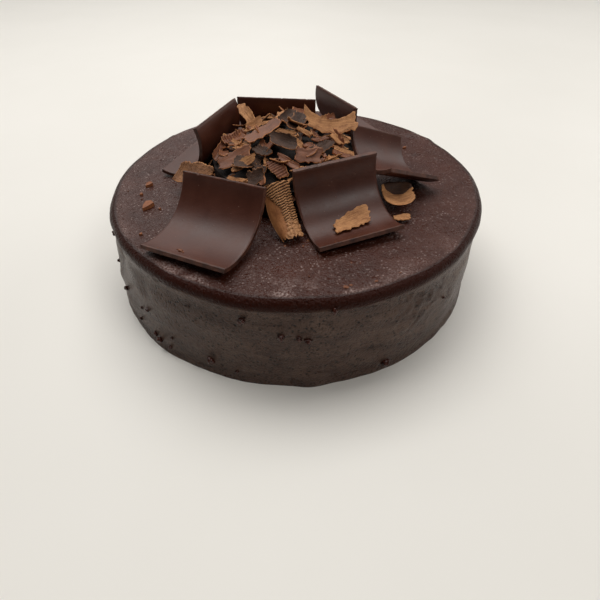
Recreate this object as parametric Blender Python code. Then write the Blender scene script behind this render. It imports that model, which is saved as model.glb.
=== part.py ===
"""A round chocolate cake under a dark glaze, dressed with curved panels and shavings.

Units are metres, +Z is up, and the origin is the middle of the flat underside.
Sizes below are written in millimetres and turned into metres by MM.
Toppings are laid out from the middle of their ring: x to the right, y to the back,
and up above the glaze.
"""
import math
import random

import bmesh
import bpy
from mathutils import Matrix, Vector, noise

MM = 0.001
SEED = 23

# Cake body
HEIGHT = 47.0
TOP_RADIUS = 91.4
BASE_RADIUS = 95.2
RIM_RADIUS = 3.8
TOP_CENTRE = (1.7, -0.9)
BASE_CENTRE = (0.0, 0.0)
STEPS_AROUND = 84
SIDE_HEIGHTS = (0.0, 1.6, 3.6, 9.0, 16.0, 23.0, 30.0, 36.0, 40.5)
RIM_STEPS = 4
TOP_RINGS = (76.0, 56.0, 34.0, 14.0)
FOOT_LIP = 0.7
FOOT_LIP_HEIGHT = 2.2
UNDERCUT = 1.1
UNDERCUT_HEIGHT = 37.0
UNDERCUT_SPREAD = 4.0
SWELL = 0.9
SWELL_SIZE = 26.0
TOP_DIP = 0.7
TOP_DIP_SIZE = 34.0

# Lumps and dents in the glaze: angle in degrees, height, width, and how far it stands out
SIDE_MARKS = (
    ("bulge_at_foot", 275.0, 2.0, 13.0, 1.3),
    ("bulge_left_low", 214.0, 10.0, 9.0, 1.0),
    ("bulge_left_mid", 207.0, 18.0, 8.0, 0.9),
    ("dent_left_high", 209.0, 33.0, 15.0, -3.4),
    ("long_dent_left", 226.0, 30.0, 8.0, -1.2),
    ("hollow_front", 262.0, 24.0, 9.0, -0.9),
    ("hollow_front_right", 290.0, 20.0, 12.0, -0.8),
    ("wrinkle_right", 318.0, 22.0, 9.0, 0.9),
    ("hollow_right", 335.0, 30.0, 12.0, -0.8),
    ("lump_on_rim", 30.0, 45.0, 8.0, 1.3),
)

# Middle of the ring of toppings, a little in front of the middle of the top
RING_CENTRE = (1.9, -3.1)

# Panels: squares of dark chocolate cut from one bent sheet
SHEET = 2.0
PANEL_STEPS_ALONG = 3
PANEL_STEPS_BENT = 12

# Heap of shavings
REST_GAP = 0.3
HEAP_CENTRE = (-3.0, 1.0)
HEAP_REACH = 38.0
HEAP_EDGE_HEIGHT = 13.0
HEAP_CROWN = 13.0
HEAP_STEPS_AROUND = 28
HEAP_RINGS = (0.3, 0.6, 0.84)
HEAP_WALL_SHARES = (0.0, 0.25, 0.6, 1.0)
CORE_CLEARANCE = 1.2
FLAKE_CLEARANCE = 0.7
CORE_PROBE_START = 2.0
CORE_PROBE_STEP = 0.5
LOOSE_CLEARANCE = 2.3
FILLER_COUNT = 30
FILLER_REACH = 0.92
FILLER_LENGTHS = (8.0, 15.0)
FILLER_WIDTH_SHARES = (0.4, 0.7)
FILLER_LIFTS = (-0.25, 0.85)
FILLER_RISE = 22.0
FILLER_TILT = 40.0
FILLER_CURLS_LONG = (-50.0, 60.0)
FILLER_CURLS_CROSS = (10.0, 90.0)
FIT_TRIES = 8
FIT_SHRINK = 0.92
FLAKE_THICKNESS = 1.0
PANEL_FLAKE_GAP = 0.45


def above_ring(x, y, up):
    """A point by its distances from the middle of the ring of toppings and from the glaze."""
    return Vector((RING_CENTRE[0] + x, RING_CENTRE[1] + y, HEIGHT + up))


class Panel:
    """One bent square of chocolate.

    x, y, up    middle of the outer edge, from the middle of the ring and from the glaze
    yaw, roll   direction of the straight edges, and their slope
    start, bend slope at the outer edge, and the whole turn from there to the inner edge
    width, run  length along the straight edges, and along the bent ones
    """

    def __init__(self, name, x, y, up, yaw, roll, start, bend, width, run):
        self.name = name
        self.width = width
        self.run = run
        self.start = math.radians(start)
        self.bend = math.radians(bend)
        self.radius = run / self.bend
        self.matrix = (
            Matrix.Translation(above_ring(x, y, up))
            @ Matrix.Rotation(math.radians(yaw), 4, "Z")
            @ Matrix.Rotation(math.radians(roll), 4, "Y")
        )
        self.inverse = self.matrix.inverted()
        self.axis_y = -self.radius * math.sin(self.start)
        self.axis_z = self.radius * math.cos(self.start)

    def point(self, across, along, depth):
        """A point of the sheet: across and along run from 0 to 1, depth is below the upper face."""
        angle = self.start + self.bend * along
        radius = self.radius + depth
        local = Vector((
            (across - 0.5) * self.width,
            self.axis_y + radius * math.sin(angle),
            self.axis_z - radius * math.cos(angle),
        ))
        return self.matrix @ local

    def distance(self, point):
        """Distance from a point to the middle surface of the sheet."""
        local = self.inverse @ Vector(point)
        beside = max(abs(local.x) - self.width / 2.0, 0.0)
        dy = local.y - self.axis_y
        dz = local.z - self.axis_z
        radius = self.radius + SHEET / 2.0
        angle = math.atan2(dy, -dz)
        turn = (angle - self.start) % (2.0 * math.pi)
        if turn <= self.bend:
            in_section = abs(math.hypot(dy, dz) - radius)
        else:
            ends = (self.start, self.start + self.bend)
            in_section = min(
                math.hypot(dy - radius * math.sin(end), dz + radius * math.cos(end)) for end in ends
            )
        return math.hypot(beside, in_section)


PANELS = (
    Panel("panel_front_left", -43.9, -68.6, 5.2, -25.6, -2.1, -23.0, 95.5, 40.0, 41.5),
    Panel("panel_front_right", 27.1, -55.9, 5.0, 21.0, -2.0, -27.5, 127.0, 38.0, 40.5),
    Panel("panel_right", 54.7, -19.3, 13.2, 31.0, 22.0, -40.0, 107.0, 35.0, 38.0),
    Panel("panel_back_right", 44.7, 56.5, 3.95, 118.5, 0.0, -24.0, 126.0, 40.0, 40.0),
    Panel("panel_back", -7.6, 62.2, 3.3, 173.5, 0.0, -17.0, 120.0, 42.0, 40.0),
    Panel("panel_back_left", -61.0, 22.3, 3.8, -110.0, 0.0, -23.0, 138.0, 40.5, 41.5),
)


class Flake:
    """One shaving, by its place and its own sizes.

    place               where its middle is and which way it faces
    length, width       size when laid flat
    curl_long           turn along its length, positive with the ends up
    curl_cross          turn across its width, positive with the sides up
    taper               share of the width that is left at the ends
    notch               share of the upper half of the width that is cut away in the middle
    """

    def __init__(self, name, place, length, width,
                 curl_long=30.0, curl_cross=30.0, taper=0.7, notch=0.0, steps=(4, 2)):
        self.name = name
        self.matrix = place
        self.length = length
        self.width = width
        self.curl_long = math.radians(curl_long)
        self.curl_cross = math.radians(curl_cross)
        self.taper = taper
        self.notch = notch
        self.steps = steps

    def spread(self, along, across):
        """Where a point lies across the shaving, as a share of half its width."""
        round_end = max(0.0, 1.0 - along * along)
        narrowing = self.taper + (1.0 - self.taper) * math.sqrt(round_end)
        if across > 0.0:
            narrowing *= 1.0 - self.notch * round_end
        return across * narrowing

    def point(self, along, across, side, scale=1.0):
        """along and across run from -1 to 1; side is 1 on the upper face and -1 below."""
        x, rise_long = bent(along * self.length * scale / 2.0, self.curl_long, self.length * scale)
        y, rise_cross = bent(self.spread(along, across) * self.width * scale / 2.0, self.curl_cross,
                             self.width * scale)
        local = Vector((x, y, rise_long + rise_cross + side * FLAKE_THICKNESS / 2.0))
        return self.matrix @ local


def laid(x, y, up, yaw, rise, tilt):
    """A place on the cake: yaw of the length, slope along it, and slope across it."""
    return (
        Matrix.Translation(above_ring(x, y, up))
        @ Matrix.Rotation(math.radians(yaw), 4, "Z")
        @ Matrix.Rotation(math.radians(-rise), 4, "Y")
        @ Matrix.Rotation(math.radians(tilt), 4, "X")
    )


def on_panel(panel, across, along, turn):
    """A place just above a panel's upper face, turned about the face's normal."""
    lift = FLAKE_THICKNESS / 2.0 + PANEL_FLAKE_GAP
    origin = panel.point(across, along, -lift)
    outward = panel.point(across, along, 0.0)
    normal = (origin - outward).normalized()
    sideways = (panel.point(across + 0.01, along, 0.0) - outward).normalized()
    frame = Matrix((sideways, normal.cross(sideways), normal)).transposed().to_4x4()
    return Matrix.Translation(origin) @ frame @ Matrix.Rotation(math.radians(turn), 4, "Z")


def bent(distance, turn, whole):
    """Where a point at a distance from the middle of a bent strip ends up: run and rise."""
    if abs(turn) < 0.01:
        return distance, 0.0
    radius = whole / turn
    angle = distance / radius
    return radius * math.sin(angle), radius * (1.0 - math.cos(angle))


# The shavings that show on the heap, from the back left round to the front right
HEAP_FLAKES = (
    Flake("strip_back_left", laid(-23.8, 15.7, 25.6, -61, -13, 35), 25, 6.0, curl_long=-40, taper=0.45),
    Flake("triangle", laid(-28.5, 2.5, 20.0, -50, 12, 20), 15, 6.5, taper=0.5),
    Flake("pale_strip", laid(-29.0, -2.0, 19.6, -55, 10, 30), 20, 3.6, curl_long=50, curl_cross=60),
    Flake("strip_left_high", laid(-26.0, -9.6, 20.4, -37, 12, 25), 14, 2.6, curl_long=20),
    Flake("smooth_back_left", laid(-14.8, -6.0, 26.0, 40, 14, -8), 21, 11.4, curl_long=30,
          curl_cross=15, taper=0.55),
    Flake("dark_curl", laid(-4.6, 11.9, 26.0, 62, 4, 35), 15, 6.5, curl_cross=120),
    Flake("dark_scoop", laid(0.7, 3.6, 26.6, 71, 5, 15), 17, 8.5, curl_cross=70, taper=0.6),
    Flake("strip_top", laid(4.2, -7.6, 26.8, -34, -10, 30), 9, 2.5, curl_cross=40),
    Flake("crescent", laid(16.3, 3.2, 27.2, -6, -2, 38), 27, 14.5, curl_long=72, curl_cross=25,
          taper=0.8, notch=0.85, steps=(6, 3)),
    Flake("patch_under_crescent", laid(19.8, -5.6, 22.4, 39, -13, 30), 10, 6.7, curl_cross=20,
          taper=0.9),
    Flake("strip_right_high", laid(10.7, -11.1, 24.9, 32, -5, 30), 9, 2.5),
    Flake("fibrous_right", laid(11.4, -14.6, 22.8, 47, 2, 25), 14, 5.9, curl_cross=25, taper=0.75),
    Flake("strip_right", laid(21.6, -11.8, 19.6, 8, -23, 25), 12, 3.3, curl_long=20),
    Flake("strip_right_low", laid(20.4, -14.9, 19.4, 9, -21, 20), 10, 3.4),
    Flake("strip_right_small", laid(16.3, -19.1, 19.6, 3, -19, 25), 6, 2.6),
    Flake("brown_front", laid(5.6, -21.6, 22.4, 7, -6, 34), 13, 8.4, curl_cross=25, taper=0.8),
    Flake("pod", laid(-5.1, -16.3, 25.6, -30, -7, 22), 15, 10.5, curl_cross=140, taper=0.35,
          steps=(6, 4)),
    Flake("arc", laid(-4.0, -10.2, 27.5, -19, -3, 50), 10, 3.0, curl_long=60),
    Flake("arc_side", laid(0.9, -14.7, 25.4, -49, -15, 35), 8, 2.9, curl_cross=60),
    Flake("khaki_leaf", laid(-14.3, -18.2, 22.8, -38, -3, 25), 10, 5.5, curl_cross=30, taper=0.5),
    Flake("ribbed_middle", laid(-7.8, -26.9, 19.5, -55, -20, 20), 12, 7.0, curl_long=-25, taper=0.85),
    Flake("strip_long", laid(-2.6, -26.4, 21.7, -32, -15, 30), 13, 3.7, curl_long=15, curl_cross=20,
          taper=0.7),
    Flake("smooth_left", laid(-27.0, -16.5, 18.9, -1, 23, 28), 18, 9.5, curl_cross=20, taper=0.6),
    Flake("strip_left", laid(-35.8, -3.6, 16.8, 64, 19, 40), 14, 5.0, curl_cross=60, taper=0.6),
    Flake("tan_leaf", laid(-22.6, -22.1, 19.4, 15, 24, 34), 13, 5.0, curl_long=25, taper=0.5),
    Flake("rough_left", laid(-15.3, -26.2, 18.7, -27, -2, 30), 7, 4.4, taper=0.8),
    Flake("khaki_flake", laid(-17.0, -29.6, 16.6, 6, 17, 40), 8.5, 8.0, curl_cross=60),
    Flake("thin_flake", laid(-25.4, -27.7, 14.4, -29, 6, 20), 11, 2.6),
    Flake("back_strip", laid(-16.0, 26.0, 19.0, 10, 0, -35), 18, 6, curl_cross=60),
    Flake("back_curl", laid(17.0, 30.0, 17.0, 60, -10, 25), 17, 8, curl_cross=80, taper=0.5),
    Flake("back_leaf", laid(2.0, 22.5, 22.8, 97, -9, 24), 20, 9, curl_long=35, taper=0.5),
)

# Larger shavings that lie on their own beside the heap
FAN_FLAKE = Flake("fan_flake", laid(-49.0, -13.0, 10.2, -22, 8, 28), 21, 13,
                  curl_long=-35, curl_cross=35, taper=0.6, steps=(8, 4))
SCOOPED_FLAKE = Flake("scooped_flake", laid(45.5, -27.0, 5.6, 6, 0, 16), 16, 15,
                      curl_long=80, curl_cross=60, taper=0.3, steps=(8, 4))
LOW_FLAKE = Flake("low_flake", laid(46.5, -38.0, 1.5, 2, 0, 6), 8, 5)
PANEL_FLAKE = Flake("flake_on_panel", on_panel(PANELS[1], 0.53, 0.32, 8), 19, 10,
                    curl_long=12, curl_cross=34, taper=0.45, steps=(8, 3))
LOOSE_FLAKES = (FAN_FLAKE, SCOOPED_FLAKE, LOW_FLAKE, PANEL_FLAKE)

# Ribbed curl standing in the gap between the two front panels
CURL_TOP = (-7.5, -38.5, 19.5)
CURL_FOOT = (-0.5, -54.5, 3.0)
CURL_TOP_WIDTH = 12.5
CURL_FOOT_WIDTH = 10.5
CURL_TURN = 130.0
CURL_SAG = 2.2
CURL_THICKNESS = 1.4
CURL_YAW = 20.0
RIB_COUNT = 13
RIB_HEIGHT = 0.35
CURL_STEPS_ACROSS = 4

# Chips that stick to the glaze: x, y, length, width, thickness, yaw
CHIPS = (
    ("large", -68.6, -25.7, 9.0, 6.0, 1.9, 66.0),
    ("middle", -72.8, -6.6, 5.2, 3.8, 1.6, 52.0),
    ("small", -74.5, -15.1, 2.4, 1.8, 0.9, 50.0),
    ("right", 61.1, 33.7, 3.2, 1.8, 0.9, 22.0),
    ("dot", -62.6, -27.9, 1.8, 1.4, 0.7, -28.0),
    ("front_dot", -66.0, -47.3, 2.0, 1.6, 0.7, 33.0),
)
CHIP_SUNK = 0.4


def clear_scene():
    for item in list(bpy.data.objects):
        bpy.data.objects.remove(item, do_unlink=True)


def chocolate(name, colour, roughness, coat=0.0):
    material = bpy.data.materials.new(name)
    material.use_nodes = True
    shader = material.node_tree.nodes["Principled BSDF"]
    shader.inputs["Base Color"].default_value = (*colour, 1.0)
    shader.inputs["Roughness"].default_value = roughness
    shader.inputs["Metallic"].default_value = 0.0
    shader.inputs["Coat Weight"].default_value = coat
    return material


def make_object(name, points, faces, material, smooth=True):
    """A mesh object from points in millimetres."""
    mesh = bpy.data.meshes.new(name)
    mesh.from_pydata([Vector(point) * MM for point in points], [], faces)
    mesh.validate()
    work = bmesh.new()
    work.from_mesh(mesh)
    bmesh.ops.recalc_face_normals(work, faces=work.faces)
    work.to_mesh(mesh)
    work.free()
    mesh.materials.append(material)
    if smooth:
        mesh.shade_smooth()
        mesh.set_sharp_from_angle(angle=math.radians(40.0))
    obj = bpy.data.objects.new(name, mesh)
    bpy.context.scene.collection.objects.link(obj)
    return obj


def sheet_faces(columns, rows):
    """Faces of a closed sheet: two grids of points, one above the other, joined round the edge."""
    def upper(i, j):
        return i * (rows + 1) + j

    lower_start = (columns + 1) * (rows + 1)
    faces = []
    for i in range(columns):
        for j in range(rows):
            quad = (upper(i, j), upper(i + 1, j), upper(i + 1, j + 1), upper(i, j + 1))
            faces.append(quad)
            faces.append(tuple(lower_start + index for index in reversed(quad)))
    border = [upper(i, 0) for i in range(columns)]
    border += [upper(columns, j) for j in range(rows)]
    border += [upper(i, rows) for i in range(columns, 0, -1)]
    border += [upper(0, j) for j in range(rows, 0, -1)]
    for index, here in enumerate(border):
        following = border[(index + 1) % len(border)]
        faces.append((following, here, lower_start + here, lower_start + following))
    return faces


def panel_object(panel, material):
    points = []
    for depth in (0.0, SHEET):
        for i in range(PANEL_STEPS_BENT + 1):
            for j in range(PANEL_STEPS_ALONG + 1):
                points.append(panel.point(j / PANEL_STEPS_ALONG, i / PANEL_STEPS_BENT, depth))
    return make_object(panel.name, points, sheet_faces(PANEL_STEPS_BENT, PANEL_STEPS_ALONG), material)


def flake_points(flake, scale=1.0):
    columns, rows = flake.steps
    points = []
    for side in (1, -1):
        for i in range(columns + 1):
            for j in range(rows + 1):
                points.append(flake.point(2.0 * i / columns - 1.0, 2.0 * j / rows - 1.0, side, scale))
    return points


def flake_object(flake, material, scale=1.0):
    return make_object(flake.name, flake_points(flake, scale), sheet_faces(*flake.steps), material)


def clear_of_panels(points, clearance):
    """True where every point keeps the clearance to the faces of every panel."""
    reach = SHEET / 2.0 + clearance
    return all(panel.distance(point) > reach for panel in PANELS for point in points)


def clear_of_loose(points, loose_points):
    """True where no point comes near a point of the shavings that lie on their own."""
    return all((point - other).length > LOOSE_CLEARANCE for point in points for other in loose_points)


def fitted_scale(flake, loose_points):
    """The largest size, out of a few, at which the shaving is clear of its neighbours, or none."""
    scale = 1.0
    for _ in range(FIT_TRIES):
        points = flake_points(flake, scale)
        above_glaze = min(point.z for point in points) > HEIGHT + REST_GAP
        off_panels = clear_of_panels(points, FLAKE_CLEARANCE)
        if above_glaze and off_panels and clear_of_loose(points, loose_points):
            return scale
        scale *= FIT_SHRINK
    return None


def side_radius(angle, height):
    """Radius of the glazed side, with its lumps, dents, foot lip and the undercut below the rim."""
    share = height / HEIGHT
    radius = BASE_RADIUS + (TOP_RADIUS - BASE_RADIUS) * share
    direction = Vector((math.cos(angle), math.sin(angle), 0.0))
    spot = direction * (TOP_RADIUS / SWELL_SIZE) + Vector((0.0, 0.0, height / SWELL_SIZE))
    radius += SWELL * noise.noise(spot)
    radius += FOOT_LIP * math.exp(-(height / FOOT_LIP_HEIGHT) ** 2)
    radius -= UNDERCUT * math.exp(-((height - UNDERCUT_HEIGHT) / UNDERCUT_SPREAD) ** 2)
    for _, at, level, width, depth in SIDE_MARKS:
        turn = math.remainder(angle - math.radians(at), 2.0 * math.pi)
        away = math.hypot(turn * TOP_RADIUS, height - level) / (width / 2.0)
        radius += depth * math.exp(-away * away)
    return radius


def body_centre(height):
    share = height / HEIGHT
    return tuple(base + (top - base) * share for base, top in zip(BASE_CENTRE, TOP_CENTRE))


def body_point(angle, inset, height):
    centre = body_centre(height)
    radius = side_radius(angle, height) - inset
    return Vector((centre[0] + radius * math.cos(angle), centre[1] + radius * math.sin(angle), height))


def top_point(angle, radius):
    x = TOP_CENTRE[0] + radius * math.cos(angle)
    y = TOP_CENTRE[1] + radius * math.sin(angle)
    dip = TOP_DIP * max(0.0, noise.noise(Vector((x, y, 0.0)) / TOP_DIP_SIZE))
    return Vector((x, y, HEIGHT - dip))


def body_rings():
    """Rings of the body from the foot up the side, over the rim and in to the middle."""
    angles = [2.0 * math.pi * step / STEPS_AROUND for step in range(STEPS_AROUND)]
    rings = [[body_point(angle, 0.0, height) for angle in angles] for height in SIDE_HEIGHTS]
    for step in range(RIM_STEPS + 1):
        lean = math.pi / 2.0 * step / RIM_STEPS
        inset = RIM_RADIUS * (1.0 - math.cos(lean))
        height = HEIGHT - RIM_RADIUS * (1.0 - math.sin(lean))
        rings.append([body_point(angle, inset, height) for angle in angles])
    rings += [[top_point(angle, radius) for angle in angles] for radius in TOP_RINGS]
    return rings


def body_object(material):
    rings = body_rings()
    points = [point for ring in rings for point in ring]
    count = STEPS_AROUND
    faces = []
    for level in range(len(rings) - 1):
        low = level * count
        high = low + count
        for step in range(count):
            after = (step + 1) % count
            faces.append((low + step, low + after, high + after, high + step))
    points.append(Vector((*BASE_CENTRE, 0.0)))
    points.append(Vector((*TOP_CENTRE, HEIGHT)))
    under = len(points) - 2
    top = len(points) - 1
    last = (len(rings) - 1) * count
    for step in range(count):
        after = (step + 1) % count
        faces.append((under, after, step))
        faces.append((top, last + step, last + after))
    return make_object("cake", points, faces, material)


def chip_object(chip, material, rng):
    """An irregular six-sided chip, partly sunk in the glaze."""
    name, x, y, length, width, thickness, yaw = chip
    corners = 6
    points = []
    for level in (-CHIP_SUNK - TOP_DIP, thickness):
        spread = 1.0 if level < 0.0 else 0.85
        for corner in range(corners):
            angle = 2.0 * math.pi * corner / corners
            reach = spread * rng.uniform(0.8, 1.1)
            points.append(Vector((
                length / 2.0 * reach * math.cos(angle),
                width / 2.0 * reach * math.sin(angle),
                level,
            )))
    place = Matrix.Translation(above_ring(x, y, 0.0))
    place = place @ Matrix.Rotation(math.radians(yaw), 4, "Z")
    points = [place @ point for point in points]
    faces = [tuple(range(corners)), tuple(range(corners, 2 * corners))]
    for corner in range(corners):
        after = (corner + 1) % corners
        faces.append((corner, after, corners + after, corners + corner))
    return make_object("chip_" + name, points, faces, material, smooth=False)


def heap_height(x, y):
    """Height of the bare heap above the glaze."""
    away = math.hypot(x - HEAP_CENTRE[0], y - HEAP_CENTRE[1]) / HEAP_REACH
    return HEAP_EDGE_HEIGHT + HEAP_CROWN * max(0.0, 1.0 - away * away)


def heap_reach(angle, up):
    """How far the heap's core runs from its middle at a height, before it comes near a panel."""
    reach = CORE_PROBE_START
    while reach < HEAP_REACH:
        spot = above_ring(
            HEAP_CENTRE[0] + reach * math.cos(angle), HEAP_CENTRE[1] + reach * math.sin(angle), up
        )
        if not clear_of_panels([spot], CORE_CLEARANCE):
            break
        reach += CORE_PROBE_STEP
    return reach - CORE_PROBE_STEP


def heap_core(material):
    """The smaller mound under the shavings."""
    count = HEAP_STEPS_AROUND
    angles = [2.0 * math.pi * step / count for step in range(count)]
    levels = [REST_GAP + share * (HEAP_EDGE_HEIGHT - REST_GAP) for share in HEAP_WALL_SHARES]
    reaches = [min(heap_reach(angle, up) for up in levels) for angle in angles]

    def ring(share, up=None):
        points = []
        for angle, reach in zip(angles, reaches):
            x = HEAP_CENTRE[0] + share * reach * math.cos(angle)
            y = HEAP_CENTRE[1] + share * reach * math.sin(angle)
            points.append(above_ring(x, y, heap_height(x, y) if up is None else up))
        return points

    rings = [ring(1.0, level) for level in levels]
    rings += [ring(share) for share in reversed(HEAP_RINGS)]
    points = [point for each in rings for point in each]
    points.append(above_ring(*HEAP_CENTRE, REST_GAP))
    points.append(above_ring(*HEAP_CENTRE, HEAP_EDGE_HEIGHT + HEAP_CROWN))
    faces = []
    for level in range(len(rings) - 1):
        for step in range(count):
            after = (step + 1) % count
            low = level * count
            high = low + count
            faces.append((low + step, low + after, high + after, high + step))
    last = (len(rings) - 1) * count
    for step in range(count):
        after = (step + 1) % count
        faces.append((len(points) - 2, after, step))
        faces.append((len(points) - 1, last + step, last + after))
    return make_object("shavings", points, faces, material)


def filler_flakes(rng):
    """Shavings of mixed size strewn over the heap by a rule, on a spiral that spreads them evenly."""
    golden_turn = math.pi * (3.0 - math.sqrt(5.0))
    flakes = []
    for index in range(FILLER_COUNT):
        share = math.sqrt((index + 0.5) / FILLER_COUNT)
        angle = index * golden_turn
        reach = share * FILLER_REACH * heap_reach(angle, HEAP_EDGE_HEIGHT)
        x = HEAP_CENTRE[0] + reach * math.cos(angle)
        y = HEAP_CENTRE[1] + reach * math.sin(angle)
        length = rng.uniform(*FILLER_LENGTHS)
        place = laid(
            x, y, heap_height(x, y) + rng.uniform(*FILLER_LIFTS), rng.uniform(0.0, 360.0),
            rng.uniform(-FILLER_RISE, FILLER_RISE), rng.uniform(-FILLER_TILT, FILLER_TILT),
        )
        flakes.append(Flake(
            "filler_%02d" % index, place, length, length * rng.uniform(*FILLER_WIDTH_SHARES),
            curl_long=rng.uniform(*FILLER_CURLS_LONG), curl_cross=rng.uniform(*FILLER_CURLS_CROSS),
            steps=(3, 2),
        ))
    return flakes


def fuse(target, others, name):
    """Join overlapping closed pieces to the target with one Boolean union, and apply it."""
    group = bpy.data.collections.new(name)
    bpy.context.scene.collection.children.link(group)
    for other in others:
        bpy.context.scene.collection.objects.unlink(other)
        group.objects.link(other)
    union = target.modifiers.new("union", "BOOLEAN")
    union.operation = "UNION"
    union.operand_type = "COLLECTION"
    union.collection = group
    union.solver = "EXACT"
    graph = bpy.context.evaluated_depsgraph_get()
    joined = bpy.data.meshes.new_from_object(target.evaluated_get(graph))
    target.modifiers.remove(union)
    target.data = joined
    for other in others:
        bpy.data.objects.remove(other, do_unlink=True)
    bpy.data.collections.remove(group)
    keep_main_shell(target)


def shell_volume(faces):
    """Signed volume inside a set of faces, positive where they face outward."""
    total = 0.0
    for face in faces:
        corners = [vertex.co for vertex in face.verts]
        for index in range(1, len(corners) - 1):
            total += corners[0].dot(corners[index].cross(corners[index + 1])) / 6.0
    return total


def keep_main_shell(obj):
    """Drop loose scraps and fill sealed hollows: only the largest outer shell stays."""
    work = bmesh.new()
    work.from_mesh(obj.data)
    bmesh.ops.remove_doubles(work, verts=work.verts, dist=0.02 * MM)
    bmesh.ops.dissolve_degenerate(work, edges=work.edges, dist=0.02 * MM)
    bmesh.ops.triangulate(work, faces=work.faces)
    unseen = set(work.faces)
    shells = []
    while unseen:
        shell = {unseen.pop()}
        front = list(shell)
        while front:
            face = front.pop()
            for edge in face.edges:
                for other in edge.link_faces:
                    if other in unseen:
                        unseen.remove(other)
                        shell.add(other)
                        front.append(other)
        shells.append(shell)
    main = max(shells, key=shell_volume)
    spare = [face for shell in shells if shell is not main for face in shell]
    if spare:
        bmesh.ops.delete(work, geom=spare, context="FACES")
    loose = [vertex for vertex in work.verts if not vertex.link_faces]
    bmesh.ops.delete(work, geom=loose, context="VERTS")
    work.to_mesh(obj.data)
    work.free()


def ribbed_curl(material):
    """A shaving bent round its own length, with ribs across it, leaning on the heap."""
    top = above_ring(*CURL_TOP)
    foot = above_ring(*CURL_FOOT)
    along = (foot - top).normalized()
    yaw = math.radians(CURL_YAW)
    side = Vector((math.cos(yaw), math.sin(yaw), 0.0))
    side = (side - along * side.dot(along)).normalized()
    out = along.cross(side)
    rows = 2 * RIB_COUNT
    turn = math.radians(CURL_TURN)
    points = []
    for face in (1, -1):
        for i in range(rows + 1):
            share = i / rows
            bend_radius = (CURL_TOP_WIDTH + (CURL_FOOT_WIDTH - CURL_TOP_WIDTH) * share) / turn
            middle = top + (foot - top) * share - out * CURL_SAG * math.sin(math.pi * share)
            rib = RIB_HEIGHT if i % 2 else -RIB_HEIGHT
            radius = bend_radius + face * CURL_THICKNESS / 2.0 + (rib if face > 0 else 0.0)
            for j in range(CURL_STEPS_ACROSS + 1):
                angle = turn * (j / CURL_STEPS_ACROSS - 0.5)
                rise = radius * math.cos(angle) - bend_radius
                points.append(middle + side * radius * math.sin(angle) + out * rise)
    return make_object("ribbed_curl", points, sheet_faces(rows, CURL_STEPS_ACROSS), material)


def build():
    clear_scene()
    rng = random.Random(SEED)
    glaze = chocolate("glaze", (0.030, 0.016, 0.012), 0.28, coat=0.3)
    dark = chocolate("dark_chocolate", (0.045, 0.021, 0.015), 0.38)
    shaved = chocolate("shaved_chocolate", (0.17, 0.082, 0.042), 0.62)

    cake = body_object(glaze)
    fuse(cake, [chip_object(chip, shaved, rng) for chip in CHIPS], "chips")

    for panel in PANELS:
        panel_object(panel, dark)

    loose = [flake_object(flake, shaved) for flake in LOOSE_FLAKES]
    loose.append(ribbed_curl(shaved))
    loose_points = [vertex.co / MM for obj in loose for vertex in obj.data.vertices]

    heap = heap_core(shaved)
    strewn = []
    for flake in HEAP_FLAKES + tuple(filler_flakes(rng)):
        scale = fitted_scale(flake, loose_points)
        if scale is not None:
            strewn.append(flake_object(flake, shaved, scale))
    fuse(heap, strewn, "strewn")


build()
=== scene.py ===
"""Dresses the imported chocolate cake: glaze, bent squares, shavings, crumbs, floor, light and camera.

The layout is written in millimetres, as in the part, and MM turns it into metres.
Toppings are laid out from the middle of their ring: x to the right, y to the back,
and up above the glaze.
"""

import math
import random

import bmesh
import bpy
from mathutils import Matrix, Vector, noise


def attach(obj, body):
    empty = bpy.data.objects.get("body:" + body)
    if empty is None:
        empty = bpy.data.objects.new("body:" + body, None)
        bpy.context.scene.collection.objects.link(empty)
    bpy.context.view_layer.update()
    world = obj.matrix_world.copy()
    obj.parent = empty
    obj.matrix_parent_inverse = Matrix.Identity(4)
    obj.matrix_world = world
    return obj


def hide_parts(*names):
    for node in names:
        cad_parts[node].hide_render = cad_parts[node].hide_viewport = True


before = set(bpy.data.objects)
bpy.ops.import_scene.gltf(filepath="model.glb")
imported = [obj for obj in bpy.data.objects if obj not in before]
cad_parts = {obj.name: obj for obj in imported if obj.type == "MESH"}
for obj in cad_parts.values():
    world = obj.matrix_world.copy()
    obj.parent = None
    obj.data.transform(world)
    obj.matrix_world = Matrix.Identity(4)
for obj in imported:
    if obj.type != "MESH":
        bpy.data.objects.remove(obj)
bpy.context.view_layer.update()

MM = 0.001
SEED = 23

# Cake body, as in the part
HEIGHT = 47.0
TOP_RADIUS = 91.4
BASE_RADIUS = 95.2
RIM_RADIUS = 3.8
TOP_CENTRE = (1.7, -0.9)
BASE_CENTRE = (0.0, 0.0)
RING_CENTRE = (1.9, -3.1)
FOOT_LIP = 0.7
FOOT_LIP_HEIGHT = 2.2
UNDERCUT = 1.1
UNDERCUT_HEIGHT = 37.0
UNDERCUT_SPREAD = 4.0
SWELL = 0.9
SWELL_SIZE = 26.0

# Lumps and dents in the glaze: angle in degrees, height, width, and how far it stands out
SIDE_MARKS = (
    ("bulge_at_foot", 275.0, 2.0, 13.0, 1.3),
    ("bulge_left_low", 214.0, 10.0, 9.0, 1.0),
    ("bulge_left_mid", 207.0, 18.0, 8.0, 0.9),
    ("dent_left_high", 209.0, 33.0, 15.0, -3.4),
    ("long_dent_left", 226.0, 30.0, 8.0, -1.2),
    ("hollow_front", 262.0, 24.0, 9.0, -0.9),
    ("hollow_front_right", 290.0, 20.0, 12.0, -0.8),
    ("wrinkle_right", 318.0, 22.0, 9.0, 0.9),
    ("hollow_right", 335.0, 30.0, 12.0, -0.8),
    ("lump_on_rim", 30.0, 45.0, 8.0, 1.3),
)

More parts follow.
